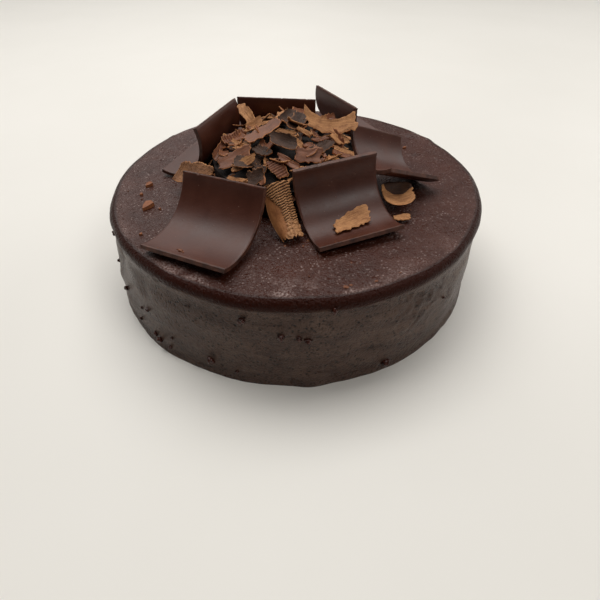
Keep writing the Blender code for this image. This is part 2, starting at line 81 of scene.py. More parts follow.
# Steps of the glaze's mesh round the cake, up its side, over the rim and in to the middle
GLAZE_STEPS_AROUND = 640
GLAZE_STEPS_UP = 48
GLAZE_STEPS_RIM = 10
GLAZE_STEPS_IN = 66
RIM_LEVEL = (GLAZE_STEPS_UP + GLAZE_STEPS_RIM) / (GLAZE_STEPS_UP + GLAZE_STEPS_RIM + GLAZE_STEPS_IN)
SIDE_SPACING = 1.15
TOP_SPACING = 1.12

# Fine relief of the side that the part leaves to the picture
RIPPLE = 0.22
RIPPLE_SIZE = 7.0
SMEAR = 0.30
SMEAR_LENGTH = 22.0
SMEAR_HEIGHT = 6.0
GRAIN = 0.07
GRAIN_SIZE = 1.8
FOOT_FADE = 3.0
FOOT_WAVE = 0.25
FOOT_WAVE_SIZE = 6.0

# Knobs and pits where an air bubble or a crumb shows: angle, height, width, how far out
SMALL_MARKS = (
    ("front_high", 257.5, 36.3, 3.4, 1.12),
    ("front_middle", 266.9, 29.7, 3.4, 1.20),
    ("front_pair_left", 271.2, 29.2, 2.6, 1.05),
    ("front_pair_right", 273.4, 28.0, 3.0, 1.05),
    ("low_left", 248.2, 8.3, 3.6, 1.35),
    ("low_left_small", 255.5, 5.3, 2.0, 0.75),
    ("low_right", 295.0, 5.0, 3.8, 1.35),
    ("left_foot", 231.0, 6.0, 3.4, 1.35),
    ("left_foot_small", 234.5, 4.5, 2.4, 1.05),
    ("left_edge", 213.0, 17.0, 2.6, 1.05),
    ("left_small", 236.0, 12.0, 1.6, 0.60),
    ("dent_high", 242.9, 35.6, 2.6, -0.55),
    ("dent_low", 245.4, 29.8, 3.4, -0.45),
    ("notch", 232.7, 41.4, 4.2, -0.7),
    ("right_high", 287.0, 39.2, 2.2, -0.5),
    ("right_middle", 299.0, 38.6, 3.6, -0.6),
    ("right_wide", 302.6, 35.2, 6.0, -0.8),
    ("right_low", 307.0, 33.0, 3.0, -0.5),
    ("drip", 279.0, 42.6, 2.6, 0.5),
)

# Shares of a knob's width, rise and length, and of a lump's length
KNOB_SIZE = 0.5
KNOB_STAND = 0.12
KNOB_SWELL = 0.35
KNOB_FLATNESS = 0.8
LUMP_WIDTH = 0.75
PIT_LIP = 0.35
PIT_LIP_REACH = 1.3

# Scattered knobs and pits: how many, their heights, widths and rises
SCATTERED_KNOBS = (34, (4.0, 38.0), (1.6, 3.2), (0.25, 0.7))
SCATTERED_PITS = (90, (3.0, 40.0), (0.9, 2.2), (-0.15, -0.4))

# Only faint ones are kept between the angles where the photo shows the side plainly
PHOTO_SIDE = (235.0, 300.0)
FAINT_MARK = 0.3

# Wrinkles at the front right
WRINKLE_ANGLE = 303.0
WRINKLE_HEIGHT = 27.0
WRINKLE_SPREAD = 13.0
WRINKLE_FLATNESS = 1.4
WRINKLE_PITCH = 7.5
WRINKLE_DEPTH = 0.42
WRINKLE_SLOPE = 0.62
WRINKLE_WARP = 5.0
WRINKLE_WARP_SIZE = 7.0

# Top of the glaze
TOP_WAVE = 0.22
TOP_WAVE_SIZE = 24.0
TOP_FINE = 0.07
TOP_FINE_SIZE = 5.0
TOP_SINK = 0.12
RIM_WAVE = 0.5
RIM_WAVE_SIZE = 17.0
CONTACT_GAP = 0.05
CONTACT_LIFT = 0.9
CONTACT_REACH = 6.0
CONTACT_SPREAD = 2.4
CONTACT_HOLD = 0.5

# Blisters on the top: x and y from the ring's middle, length, width, direction, rise
BLISTERS = (
    (-73.6, 51.3, 5.0, 3.0, 20.0, 0.45),
    (-76.5, 35.3, 6.0, 3.4, 40.0, 0.55),
    (-70.9, 26.0, 4.0, 2.6, 20.0, 0.40),
    (-74.1, 20.7, 6.5, 3.6, 35.0, 0.55),
    (-76.9, 8.4, 6.0, 3.4, 50.0, 0.50),
    (-79.1, -1.0, 5.0, 3.0, 55.0, 0.45),
    (-62.0, 40.0, 4.0, 2.6, 25.0, 0.35),
    (65.7, 26.3, 7.0, 3.0, 20.0, 0.55),
    (76.7, 21.4, 5.0, 3.0, -30.0, 0.45),
    (70.0, 50.0, 9.0, 5.0, -35.0, 0.70),
    (16.4, -80.7, 6.0, 2.2, 10.0, 0.35),
    (29.8, -77.0, 8.0, 2.6, 18.0, 0.45),
)
BLISTER_RISE = 1.4
SCATTERED_BLISTERS = 60
BLISTER_REACHES = (52.0, 85.0)
BLISTER_SIZES = (1.4, 3.4)
BLISTER_RISES = (0.10, 0.3)

# Panels: squares of dark chocolate cut from one bent sheet, as in the part
SHEET = 2.0
REST_GAP = 0.3
PANEL_GRID = 56
PANEL_RIM = 0.008
PANEL_ROUNDING = 0.2
PANEL_WARP = 0.18
PANEL_WARP_SIZE = 16.0
EDGE_WEAR = 0.25
EDGE_NICK = 1.1

# Heap of shavings, as in the part
HEAP_CENTRE = (-3.0, 1.0)
HEAP_REACH = 38.0
HEAP_EDGE_HEIGHT = 13.0
HEAP_CROWN = 13.0
HEAP_STEPS = 120
CORE_CLEARANCE = 1.2
CORE_SINK = 2.2
CORE_SHY = 0.3
CORE_LEVELS = (0.0, 0.2, 0.4, 0.6, 0.8, 1.0)
CORE_RINGS = (0.95, 0.88, 0.8, 0.7, 0.6, 0.5, 0.4, 0.3, 0.2, 0.1)
FLAKE_CLEARANCE = 0.7
CORE_PROBE_START = 2.0
CORE_PROBE_STEP = 0.5
LOOSE_CLEARANCE = 2.3
FILLER_COUNT = 30
FILLER_REACH = 0.92
FILLER_LENGTHS = (8.0, 15.0)
FILLER_WIDTH_SHARES = (0.4, 0.7)
FILLER_LIFTS = (-0.25, 0.85)
FILLER_RISE = 22.0
FILLER_TILT = 40.0
FILLER_CURLS_LONG = (-50.0, 60.0)
FILLER_CURLS_CROSS = (10.0, 90.0)
FIT_TRIES = 8
FIT_SHRINK = 0.92
FLAKE_THICKNESS = 1.0
PANEL_FLAKE_GAP = 0.45

# Fine form of a shaving
RIB_RISE = 0.24
RIB_PITCH = 1.3
END_SKEW = 0.5
SHAVING_GRID = (28, 12)
RIBBED_GRID = (60, 14)
LOOSE_GRID = (44, 30)
BIT_GRID = (8, 4)

# Patch of painted shadow in the hollow of the scooped shaving, on its sheet laid flat
SHADE_PATCH_AT = (1.15, 1.1)
SHADE_PATCH_REACH = 0.98
SHADE_PATCH_SQUEEZE = 1.7

# Extra small shavings that only the picture has
BIT_COUNT = 170
BIT_LENGTHS = (2.5, 6.5)
BIT_WIDTH_SHARES = (0.3, 0.65)
BIT_CURLS_LONG = (-40.0, 70.0)
BIT_CURLS_CROSS = (0.0, 80.0)
BIT_LIFTS = (-0.6, 0.4)
BIT_SLOPE = 25.0
BIT_TURN = 35.0
BIT_WALL_SHARE = 1.02
BIT_WALL_LEANS = (40.0, 85.0)
BIT_GAP = 0.1
BIT_CLEARANCE = 0.15


def above_ring(x, y, up):
    """A point by its distances from the middle of the ring of toppings and from the glaze."""
    return Vector((RING_CENTRE[0] + x, RING_CENTRE[1] + y, HEIGHT + up))


class Panel:
    """One bent square of chocolate.

    x, y, up    middle of the outer edge, from the middle of the ring and from the glaze
    yaw, roll   direction of the straight edges, and their slope
    start, bend slope at the outer edge, and the whole turn from there to the inner edge
    width, run  length along the straight edges, and along the bent ones
    """

    def __init__(self, name, x, y, up, yaw, roll, start, bend, width, run):
        self.name = name
        self.width = width
        self.run = run
        self.start = math.radians(start)
        self.bend = math.radians(bend)
        self.radius = run / self.bend
        self.matrix = (
            Matrix.Translation(above_ring(x, y, up))
            @ Matrix.Rotation(math.radians(yaw), 4, "Z")
            @ Matrix.Rotation(math.radians(roll), 4, "Y")
        )
        self.inverse = self.matrix.inverted()
        self.axis_y = -self.radius * math.sin(self.start)
        self.axis_z = self.radius * math.cos(self.start)

    def point(self, across, along, depth):
        """A point of the sheet: across and along run from 0 to 1, depth is below the upper face."""
        angle = self.start + self.bend * along
        radius = self.radius + depth
        local = Vector((
            (across - 0.5) * self.width,
            self.axis_y + radius * math.sin(angle),
            self.axis_z - radius * math.cos(angle),
        ))
        return self.matrix @ local

    def distance(self, point):
        """Distance from a point to the middle surface of the sheet."""
        local = self.inverse @ Vector(point)
        beside = max(abs(local.x) - self.width / 2.0, 0.0)
        dy = local.y - self.axis_y
        dz = local.z - self.axis_z
        radius = self.radius + SHEET / 2.0
        angle = math.atan2(dy, -dz)
        turn = (angle - self.start) % math.tau
        if turn <= self.bend:
            in_section = abs(math.hypot(dy, dz) - radius)
        else:
            ends = (self.start, self.start + self.bend)
            in_section = min(
                math.hypot(dy - radius * math.sin(end), dz + radius * math.cos(end)) for end in ends
            )
        return math.hypot(beside, in_section)


PANELS = (
    Panel("panel_front_left", -43.9, -68.6, 5.2, -25.6, -2.1, -23.0, 95.5, 40.0, 41.5),
    Panel("panel_front_right", 27.1, -55.9, 5.0, 21.0, -2.0, -27.5, 127.0, 38.0, 40.5),
    Panel("panel_right", 54.7, -19.3, 13.2, 31.0, 22.0, -40.0, 107.0, 35.0, 38.0),
    Panel("panel_back_right", 44.7, 56.5, 3.95, 118.5, 0.0, -24.0, 126.0, 40.0, 40.0),
    Panel("panel_back", -7.6, 62.2, 3.3, 173.5, 0.0, -17.0, 120.0, 42.0, 40.0),
    Panel("panel_back_left", -61.0, 22.3, 3.8, -110.0, 0.0, -23.0, 138.0, 40.5, 41.5),
)


class Flake:
    """One shaving, by its place and its own sizes.

    place               where its middle is and which way it faces
    length, width       size when laid flat
    curl_long           turn along its length, positive with the ends up
    curl_cross          turn across its width, positive with the sides up
    taper               share of the width that is left at the ends
    notch               share of the upper half of the width that is cut away in the middle
    kind, outline       which chocolate it is scraped from, and how its edge runs
    steps               steps along it and across it of the part's own shaving
    """

    def __init__(self, name, place, length, width, curl_long=30.0, curl_cross=30.0, taper=0.7,
                 notch=0.0, kind="brown", outline="ragged", steps=(4, 2)):
        self.name = name
        self.matrix = place
        self.length = length
        self.width = width
        self.curl_long = math.radians(curl_long)
        self.curl_cross = math.radians(curl_cross)
        self.taper = taper
        self.notch = notch
        self.kind = kind
        self.outline = outline
        self.steps = steps

    def spread(self, along, across):
        """Where a point lies across the shaving, as a share of half its width."""
        round_end = max(0.0, 1.0 - along * along)
        narrowing = self.taper + (1.0 - self.taper) * math.sqrt(round_end)
        if across > 0.0:
            narrowing *= 1.0 - self.notch * round_end
        return across * narrowing

    def point(self, along, across, lift):
        """along and across run from -1 to 1; lift is above the middle of the sheet."""
        x, rise_long = bent(along * self.length / 2.0, self.curl_long, self.length)
        y, rise_cross = bent(self.spread(along, across) * self.width / 2.0, self.curl_cross, self.width)
        return self.matrix @ Vector((x, y, rise_long + rise_cross + lift))


def laid(x, y, up, yaw, rise, tilt):
    """A place on the cake: yaw of the length, slope along it, and slope across it."""
    return (
        Matrix.Translation(above_ring(x, y, up))
        @ Matrix.Rotation(math.radians(yaw), 4, "Z")
        @ Matrix.Rotation(math.radians(-rise), 4, "Y")
        @ Matrix.Rotation(math.radians(tilt), 4, "X")
    )


def on_panel(panel, across, along, turn, gap=PANEL_FLAKE_GAP, thickness=FLAKE_THICKNESS):
    """A place just above a panel's upper face, turned about the face's normal."""
    origin = panel.point(across, along, -thickness / 2.0 - gap)
    outward = panel.point(across, along, 0.0)
    normal = (origin - outward).normalized()
    sideways = (panel.point(across + 0.01, along, 0.0) - outward).normalized()
    turned = Matrix((sideways, normal.cross(sideways), normal)).transposed().to_4x4()
    return Matrix.Translation(origin) @ turned @ Matrix.Rotation(math.radians(turn), 4, "Z")


def bent(distance, turn, whole):
    """Where a point at a distance from the middle of a bent strip ends up: run and rise."""
    if abs(turn) < 0.01:
        return distance, 0.0
    radius = whole / turn
    angle = distance / radius
    return radius * math.sin(angle), radius * (1.0 - math.cos(angle))


# The shavings that show on the heap, from the back left round to the front right
HEAP_FLAKES = (
    Flake("strip_back_left", laid(-23.8, 15.7, 25.6, -61, -13, 35), 25, 6.0, curl_long=-40, taper=0.45,
          kind="tan"),
    Flake("triangle", laid(-28.5, 2.5, 20.0, -50, 12, 20), 15, 6.5, taper=0.5),
    Flake("pale_strip", laid(-29.0, -2.0, 19.6, -55, 10, 30), 20, 3.6, curl_long=50, curl_cross=60,
          kind="tan"),
    Flake("strip_left_high", laid(-26.0, -9.6, 20.4, -37, 12, 25), 14, 2.6, curl_long=20, kind="tan"),
    Flake("smooth_back_left", laid(-14.8, -6.0, 26.0, 40, 14, -8), 21, 11.4, curl_long=30,
          curl_cross=15, taper=0.55),
    Flake("dark_curl", laid(-4.6, 11.9, 26.0, 62, 4, 35), 15, 6.5, curl_cross=120, taper=0.7,
          kind="dark"),
    Flake("dark_scoop", laid(0.7, 3.6, 26.6, 71, 5, 15), 17, 8.5, curl_cross=70, taper=0.6,
          kind="dark"),
    Flake("strip_top", laid(4.2, -7.6, 26.8, -34, -10, 30), 9, 2.5, curl_cross=40, kind="tan"),
    Flake("crescent", laid(16.3, 3.2, 27.2, -6, -2, 38), 27, 14.5, curl_long=72, curl_cross=25,
          taper=0.8, notch=0.85, kind="tan", steps=(6, 3)),
    Flake("patch_under_crescent", laid(19.8, -5.6, 22.4, 39, -13, 30), 10, 6.7, curl_cross=20,
          taper=0.9, kind="tan"),
    Flake("strip_right_high", laid(10.7, -11.1, 24.9, 32, -5, 30), 9, 2.5),
    Flake("fibrous_right", laid(11.4, -14.6, 22.8, 47, 2, 25), 14, 5.9, curl_cross=25, taper=0.75,
          kind="dark"),
    Flake("strip_right", laid(21.6, -11.8, 19.6, 8, -23, 25), 12, 3.3, curl_long=20, kind="tan"),
    Flake("strip_right_low", laid(20.4, -14.9, 19.4, 9, -21, 20), 10, 3.4),
    Flake("strip_right_small", laid(16.3, -19.1, 19.6, 3, -19, 25), 6, 2.6, kind="tan"),
    Flake("brown_front", laid(5.6, -21.6, 22.4, 7, -6, 34), 13, 8.4, curl_cross=25, taper=0.8),
    Flake("pod", laid(-5.1, -16.3, 25.6, -30, -7, 22), 15, 10.5, curl_cross=140, taper=0.35,
          kind="dark", steps=(6, 4)),
    Flake("arc", laid(-4.0, -10.2, 27.5, -19, -3, 50), 10, 3.0, curl_long=60, kind="tan"),
    Flake("arc_side", laid(0.9, -14.7, 25.4, -49, -15, 35), 8, 2.9, curl_cross=60, kind="tan"),
    Flake("khaki_leaf", laid(-14.3, -18.2, 22.8, -38, -3, 25), 10, 5.5, curl_cross=30, taper=0.5,
          kind="dark"),
    Flake("ribbed_middle", laid(-7.8, -26.9, 19.5, -55, -20, 20), 12, 7.0, curl_long=-25, taper=0.85,
          kind="ribbed"),
    Flake("strip_long", laid(-2.6, -26.4, 21.7, -32, -15, 30), 13, 3.7, curl_long=15, curl_cross=20,
          taper=0.7),
    Flake("smooth_left", laid(-27.0, -16.5, 18.9, -1, 23, 28), 18, 9.5, curl_cross=20, taper=0.6),
    Flake("strip_left", laid(-35.8, -3.6, 16.8, 64, 19, 40), 14, 5.0, curl_cross=60, taper=0.6),
    Flake("tan_leaf", laid(-22.6, -22.1, 19.4, 15, 24, 34), 13, 5.0, curl_long=25, taper=0.5,
          kind="tan"),
    Flake("rough_left", laid(-15.3, -26.2, 18.7, -27, -2, 30), 7, 4.4, taper=0.8, kind="dark"),
    Flake("khaki_flake", laid(-17.0, -29.6, 16.6, 6, 17, 40), 8.5, 8.0, curl_cross=60, taper=0.7,
          kind="dark"),
    Flake("thin_flake", laid(-25.4, -27.7, 14.4, -29, 6, 20), 11, 2.6, kind="tan"),
    Flake("back_strip", laid(-16.0, 26.0, 19.0, 10, 0, -35), 18, 6, curl_cross=60, kind="tan"),
    Flake("back_curl", laid(17.0, 30.0, 17.0, 60, -10, 25), 17, 8, curl_cross=80, taper=0.5),
    Flake("back_leaf", laid(2.0, 22.5, 22.8, 97, -9, 24), 20, 9, curl_long=35, taper=0.5),
)

# Larger shavings that lie on their own beside the heap
LOOSE_FLAKES = (
    Flake("fan_flake", laid(-49.0, -13.0, 10.2, -22, 8, 28), 21, 13, curl_long=-35, curl_cross=35,
          taper=0.6, kind="lattice", outline="fan"),
    Flake("scooped_flake", laid(45.5, -27.0, 5.6, 6, 0, 16), 16, 15, curl_long=80, curl_cross=60,
          taper=0.3, kind="tan", outline="smooth"),
    Flake("low_flake", laid(46.5, -38.0, 1.5, 2, 0, 6), 8, 5, taper=0.4, kind="tan", outline="torn"),
    Flake("flake_on_panel", on_panel(PANELS[1], 0.53, 0.32, 8), 20, 10.5, curl_long=12,
          curl_cross=34, taper=0.9, kind="tan", outline="torn"),
)

# Ribbed curl standing in the gap between the two front panels
CURL_TOP = (-7.5, -38.5, 19.5)
CURL_FOOT = (-0.5, -54.5, 3.0)
CURL_TOP_WIDTH = 12.5
CURL_FOOT_WIDTH = 10.5
CURL_TURN = 130.0
CURL_SAG = 2.2
CURL_BULGE = 1.6
CURL_THICKNESS = 1.4
CURL_YAW = 20.0
CURL_ROWS = 180
CURL_COLUMNS = 26
CURL_RIBS = 22
CURL_RIB_SLANT = 0.13
CURL_RIB_DEPTH = 0.55
CURL_GAP_SHARE = 0.5
CURL_SMOOTH_SHARE = 0.40
CURL_TORN_SHARE = 0.70

# Chips that stick to the glaze: x, y, length, width, thickness, yaw
CHIPS = (
    ("large", -68.6, -25.7, 9.0, 6.0, 1.9, 66.0),
    ("middle", -72.8, -6.6, 5.2, 3.8, 1.6, 52.0),
    ("small", -74.5, -15.1, 2.4, 1.8, 0.9, 50.0),
    ("right", 61.1, 33.7, 3.2, 1.8, 0.9, 22.0),
    ("dot", -62.6, -27.9, 1.8, 1.4, 0.7, -28.0),
    ("front_dot", -66.0, -47.3, 2.0, 1.6, 0.7, 33.0),
)
CHIP_CORNERS = 6
CHIP_EDGE_STEPS = 4
CHIP_RINGS = (0.4, 0.75, 0.95, 1.0)
CHIP_SINK = 0.5

# Crumbs strewn round the heap: how many, their distances from its middle and their half lengths
CRUMB_COUNT = 30
CRUMB_REACHES = (44.0, 84.0)
CRUMB_SIZES = (0.18, 0.5)

# Crumbs on the two front panels: which panel, place across and along it, half length
PANEL_CRUMBS = (
    (0, 0.42, 0.10, 1.0), (0, 0.37, 0.11, 0.4), (0, 0.46, 0.09, 0.5), (0, 0.20, 0.03, 0.35),
    (1, 0.50, 0.40, 0.5), (1, 0.2, 0.05, 0.35),
)

# Crumbs on the glaze that the photo shows: x and y from the middle of the ring, half length
CRUMB_SPOTS = (
    (30.2, -77.4, 0.9), (32.0, -76.0, 0.6), (18.6, -80.6, 1.1), (20.5, -79.6, 0.7), (21.8, -66.9, 0.5),
    (52.2, -29.5, 0.6), (5.1, -52.4, 0.8), (3.0, -56.0, 0.6), (-4.5, -55.8, 0.7), (40.0, -72.9, 0.5),
)

# Camera, floor and lights; the floor and the lights are in metres
CAMERA_AT = (3.5, -194.0, 150.8)
CAMERA_PITCH = 45.07
CAMERA_ROLL = -0.005
LENS = 24.6
SENSOR = 36.0
FLOOR_HALF = 6.0
ROOM_TINT = (1.0, 0.97, 0.94, 1.0)
ROOM_STRENGTH = 0.08
LIGHT_TINT = (1.0, 0.985, 0.96)

# Each light's place, what it points at, its width and depth, and its watts
LIGHTS = (
    ("wall_behind", (-0.6, 1.15, 0.95), (0.0, 0.0, 0.05), 1.9, 1.4, 8.6),
    ("ceiling", (-0.1, 0.4, 1.1), (0.0, 0.05, 0.0), 1.4, 0.7, 11.5),
    ("front_right", (0.67, -0.45, 0.95), (0.02, -0.04, 0.06), 0.4, 0.4, 3.4),
    ("low_right", (0.95, 0.65, 0.5), (0.05, 0.0, 0.05), 0.6, 0.5, 1.8),
)


def smooth_step(low, high, value):
    share = min(1.0, max(0.0, (value - low) / (high - low)))
    return share * share * (3.0 - 2.0 * share)


def drift(*place):
    """Smooth noise from -1 to 1 at a place."""
    return noise.noise(Vector(place))


def heading(angle):
    """The level direction at an angle, counted from the right towards the back."""
    return Vector((math.cos(angle), math.sin(angle), 0.0))


def on_circle(middle, angle, reach):
    """x and y at a distance from a middle, in the direction of an angle."""
    return middle[0] + reach * math.cos(angle), middle[1] + reach * math.sin(angle)


def full_turn(count):
    """Angles at even steps round a circle."""
    return [math.tau * step / count for step in range(count)]


def arc_from(angle, at):
    """Distance along the rim between two angles, positive where the first is the greater."""
    return math.remainder(angle - at, math.tau) * TOP_RADIUS


def placed(name, data):
    """A new object of the scene that shows the data."""
    thing = bpy.data.objects.new(name, data)
    bpy.context.scene.collection.objects.link(thing)
    return thing


def dressed(name, sheets, materials, nodes, sharp=50.0):
    """One object of closed sheets that stands for the named nodes and moves with the cake.

    Each sheet has points, faces, a UV for each point and a material's number for each face.
    """
    points = []
    faces = []
    uvs = []
    slots = []
    for sheet in sheets:
        start = len(points)
        points += [point * MM for point in sheet[0]]
        faces += [tuple(start + index for index in face) for face in sheet[1]]
        uvs += sheet[2]
        slots += sheet[3]
    mesh = bpy.data.meshes.new(name)
    mesh.from_pydata(points, [], faces)
    for material in materials:
        mesh.materials.append(material)
    mesh.polygons.foreach_set("material_index", slots)
    layer = mesh.uv_layers.new(name="laid_flat")
    for loop in mesh.loops:
        layer.data[loop.index].uv = uvs[loop.vertex_index]
    work = bmesh.new()
    work.from_mesh(mesh)
    bmesh.ops.recalc_face_normals(work, faces=work.faces)
    work.to_mesh(mesh)
    work.free()
    mesh.shade_smooth()
    mesh.set_sharp_from_angle(angle=math.radians(sharp))
    piece = placed(name, mesh)
    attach(piece, "root")
    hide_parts(*nodes)


def skin(rings, first, last):
    """A closed skin over rings of points; one more point closes the first ring, and one the last."""
    count = len(rings[0])
    points = [point for ring in rings for point in ring]
    faces = []
    for low in range(0, len(points) - count, count):
        for step in range(count):
            after = (step + 1) % count
            faces.append((low + step, low + after, low + count + after, low + count + step))
    end = len(points)
    for step in range(count):
        after = (step + 1) % count
        faces.append((end, after, step))
        faces.append((end + 1, end - count + step, end - count + after))
    return points + [first, last], faces


def middle_uv(face, uvs):
    """The middle of a face on the sheet laid flat."""
    return [sum(uvs[corner][axis] for corner in face) / len(face) for axis in (0, 1)]


def grid_sheet(us, vs, place):
    """A closed sheet: place(u, v, side, at_edge) gives each point; faces round the edge are slot 1."""
    columns = len(us) - 1
    rows = len(vs) - 1
    points = []
    uvs = []
    for side in (1, -1):
        for i, u in enumerate(us):
            for j, v in enumerate(vs):
                at_edge = i in (0, columns) or j in (0, rows)
                points.append(place(u, v, side, at_edge))
                uvs.append((u, v))

    def upper(i, j):
        return i * (rows + 1) + j

    below = (columns + 1) * (rows + 1)
    faces = []
    slots = []
    for i in range(columns):
        for j in range(rows):
            at_rim = i in (0, columns - 1) or j in (0, rows - 1)
            quad = (upper(i, j), upper(i + 1, j), upper(i + 1, j + 1), upper(i, j + 1))
            faces.append(quad)
            faces.append(tuple(below + index for index in reversed(quad)))
            slots += [1 if at_rim else 0] * 2
    border = [upper(i, 0) for i in range(columns)]
    border += [upper(columns, j) for j in range(rows)]
    border += [upper(i, rows) for i in range(columns, 0, -1)]
    border += [upper(0, j) for j in range(rows, 0, -1)]
    for index, here in enumerate(border):
        after = border[(index + 1) % len(border)]
        faces.append((after, here, below + here, below + after))
        slots.append(1)
    return points, faces, uvs, slots


def shares(count, rim):
    """Even steps from 0 to 1, with one narrow step at each end that rounds the edge."""
    inner = [rim + (1.0 - 2.0 * rim) * step / count for step in range(count + 1)]
    return [0.0] + inner + [1.0]


class Finish:
    """Short calls for building one procedural material."""

    def __init__(self, name):
        self.material = bpy.data.materials.new(name)
        self.material.use_nodes = True
        self.tree = self.material.node_tree
        self.shader = self.tree.nodes["Principled BSDF"]
        coordinates = self.node("TexCoord")
        self.place = coordinates.outputs["Object"]
        self.flat = coordinates.outputs["UV"]

    def feed(self, inputs, values):
        """Sets or links inputs, each by its name or number."""
        for key, value in values.items():
            if isinstance(value, bpy.types.NodeSocket):
                self.tree.links.new(value, inputs[key])
            else:
                inputs[key].default_value = value

    def node(self, kind, **values):
        """A new node; an underscore stands for a space in an input's name."""
        node = self.tree.nodes.new("ShaderNode" + kind)
        self.feed(node.inputs, {name.replace("_", " "): value for name, value in values.items()})
        return node

    def scaled(self, vector, factors):
        return self.node("Mapping", Vector=vector, Scale=factors).outputs[0]

    def noise(self, vector, scale, detail=4.0, roughness=0.55, distortion=0.0):
        return self.node("TexNoise", Vector=vector, Scale=scale, Detail=detail,
                         Roughness=roughness, Distortion=distortion).outputs[0]

    def cells(self, vector, scale):
        """Distance to the nearest of many scattered points."""
        return self.node("TexVoronoi", Vector=vector, Scale=scale).outputs["Distance"]

    def part(self, vector, axis):
        return self.node("SeparateXYZ", Vector=vector).outputs[axis]

    def span(self, value, low, high, to_low=0.0, to_high=1.0):
        return self.node("MapRange", Value=value, From_Min=low, From_Max=high,
                         To_Min=to_low, To_Max=to_high).outputs[0]

    def math(self, operation, first, second):
        node = self.node("Math")
        node.operation = operation
        self.feed(node.inputs, {0: first, 1: second})
        return node.outputs[0]

    def sum(self, first, second):
        return self.math("ADD", first, second)

    def product(self, first, *others):
        for other in others:
            first = self.math("MULTIPLY", first, other)
        return first

    def blend(self, first, second, share):
        """A share of the first value, and the rest of the second."""
        return self.sum(self.product(first, share), self.product(second, 1.0 - share))

    def mix(self, share, first, second):
        """From the first colour to the second as the share goes from 0 to 1."""
        node = self.node("Mix")
        node.data_type = "RGBA"
        self.feed(node.inputs, {0: share, 6: first, 7: second})
        return node.outputs[2]

    def relief(self, *layers):
        """Fine relief in layers, each with its height, strength and depth in metres."""
        normal = {}
        for height, strength, depth in layers:
            node = self.node("Bump", Height=height, Strength=strength, Distance=depth, **normal)
            normal = {"Normal": node.outputs["Normal"]}
        return normal["Normal"]

    def done(self, colour, roughness, normal, gloss):
        self.feed(self.shader.inputs, {
            "Base Color": colour, "Roughness": roughness, "Normal": normal, "IOR": gloss,
        })
        return self.material


def colour(red, green, blue):
    """A colour from its screen values, 0 to 255, as the renderer counts light."""
    def linear(value):
        share = value / 255.0
        return share / 12.92 if share <= 0.04045 else ((share + 0.055) / 1.055) ** 2.4

    return (linear(red), linear(green), linear(blue), 1.0)


def glaze_finish(name, gloss):
    """Dark glaze: grainy with painted glints on top, a painted highlight band inside the rim, painted shade
    on the rim, and greyer below it with a painted reflection of the pale plate.
    """
    f = Finish(name)
    broad = f.noise(f.place, 45.0, 5.0, 0.6, 0.4)
    blotches = f.noise(f.place, 130.0, 4.0, 0.65, 0.6)
    grain = f.noise(f.place, 1150.0, 2.0, 0.7)
    peel = f.noise(f.place, 620.0, 2.0, 0.6)
    smears = f.noise(f.scaled(f.place, (50.0, 50.0, 170.0)), 1.0, 5.0, 0.6, 0.8)
    pores = f.span(f.cells(f.place, 480.0), 0.08, 0.34)
    level = f.sum(f.part(f.flat, "Y"), f.product(f.sum(broad, -0.5), 0.03))
    on_top = f.span(level, RIM_LEVEL - 0.012, RIM_LEVEL + 0.004)
    on_side = f.span(level, RIM_LEVEL - 0.080, RIM_LEVEL - 0.094)
    top = f.mix(f.span(broad, 0.3, 0.7), colour(54, 21, 10), colour(74, 34, 20))
    # The side's lighter, greyer tone is partly a painted reflection of the pale plate below it; its smears
    # are its own
    side = f.mix(f.span(smears, 0.35, 0.7), colour(66, 44, 35), colour(100, 78, 66))
    # The rim band between the top and the side gets a near black red: painted shade, where the rim faces
    # the dark room in front of it
    base = f.mix(on_side, f.mix(on_top, colour(46, 16, 7), top), side)
    # A painted highlight lies in a band inside the rim, and fades to the back, the right and the left
    painted_highlight = f.product(
        on_top,
        f.span(level, RIM_LEVEL + 0.085, RIM_LEVEL + 0.01),
        f.span(broad, 0.46, 0.60),
        f.span(f.part(f.place, "Y"), 0.0, -0.065, 0.3, 1.0),
        f.span(f.part(f.place, "X"), 0.05, 0.02, 0.2, 1.0),
        f.span(f.part(f.place, "X"), -0.06, -0.03, 0.3, 1.0),
        f.span(grain, 0.42, 0.62),
    )
    # Painted glints: pale specks scattered over the top, where light would glint on its grain
    painted_glints = f.product(f.span(f.cells(f.place, 640.0), 0.30, 0.16), f.span(blotches, 0.42, 0.58), on_top)
    painted_highlight = f.sum(f.product(painted_highlight, 2.0), painted_glints)
    # The painted highlight and glints are mixed in as a pale grey over the base colour
    base = f.mix(f.product(painted_highlight, 0.6), base, colour(158, 138, 132))
    dark_pores = f.product(f.span(pores, 0.85, 0.1), f.span(blotches, 0.34, 0.5), on_side)
    base = f.mix(dark_pores, base, colour(18, 9, 6))
    mottle = f.product(f.span(f.sum(grain, peel), 0.98, 0.72), on_side, 0.8)
    base = f.mix(mottle, base, colour(26, 15, 11))
    roughness = f.span(f.blend(smears, blotches, 0.5), 0.35, 0.65, 0.24, 0.42)
    normal = f.relief((pores, 0.8, 0.00030), (peel, 0.8, 0.00045), (grain, 1.0, 0.00055),
                      (smears, 0.35, 0.0005))
    return f.done(base, roughness, normal, gloss)


def knob_finish():
    """Lumps under the glaze: dark, reddish and wet."""
    f = Finish("glaze_knob")
    grain = f.noise(f.place, 900.0, 3.0, 0.6)
    base = f.mix(f.span(grain, 0.35, 0.65), colour(40, 15, 9), colour(74, 32, 20))
    return f.done(base, f.span(grain, 0.3, 0.7, 0.16, 0.34), f.relief((grain, 0.5, 0.0002)), 1.5)


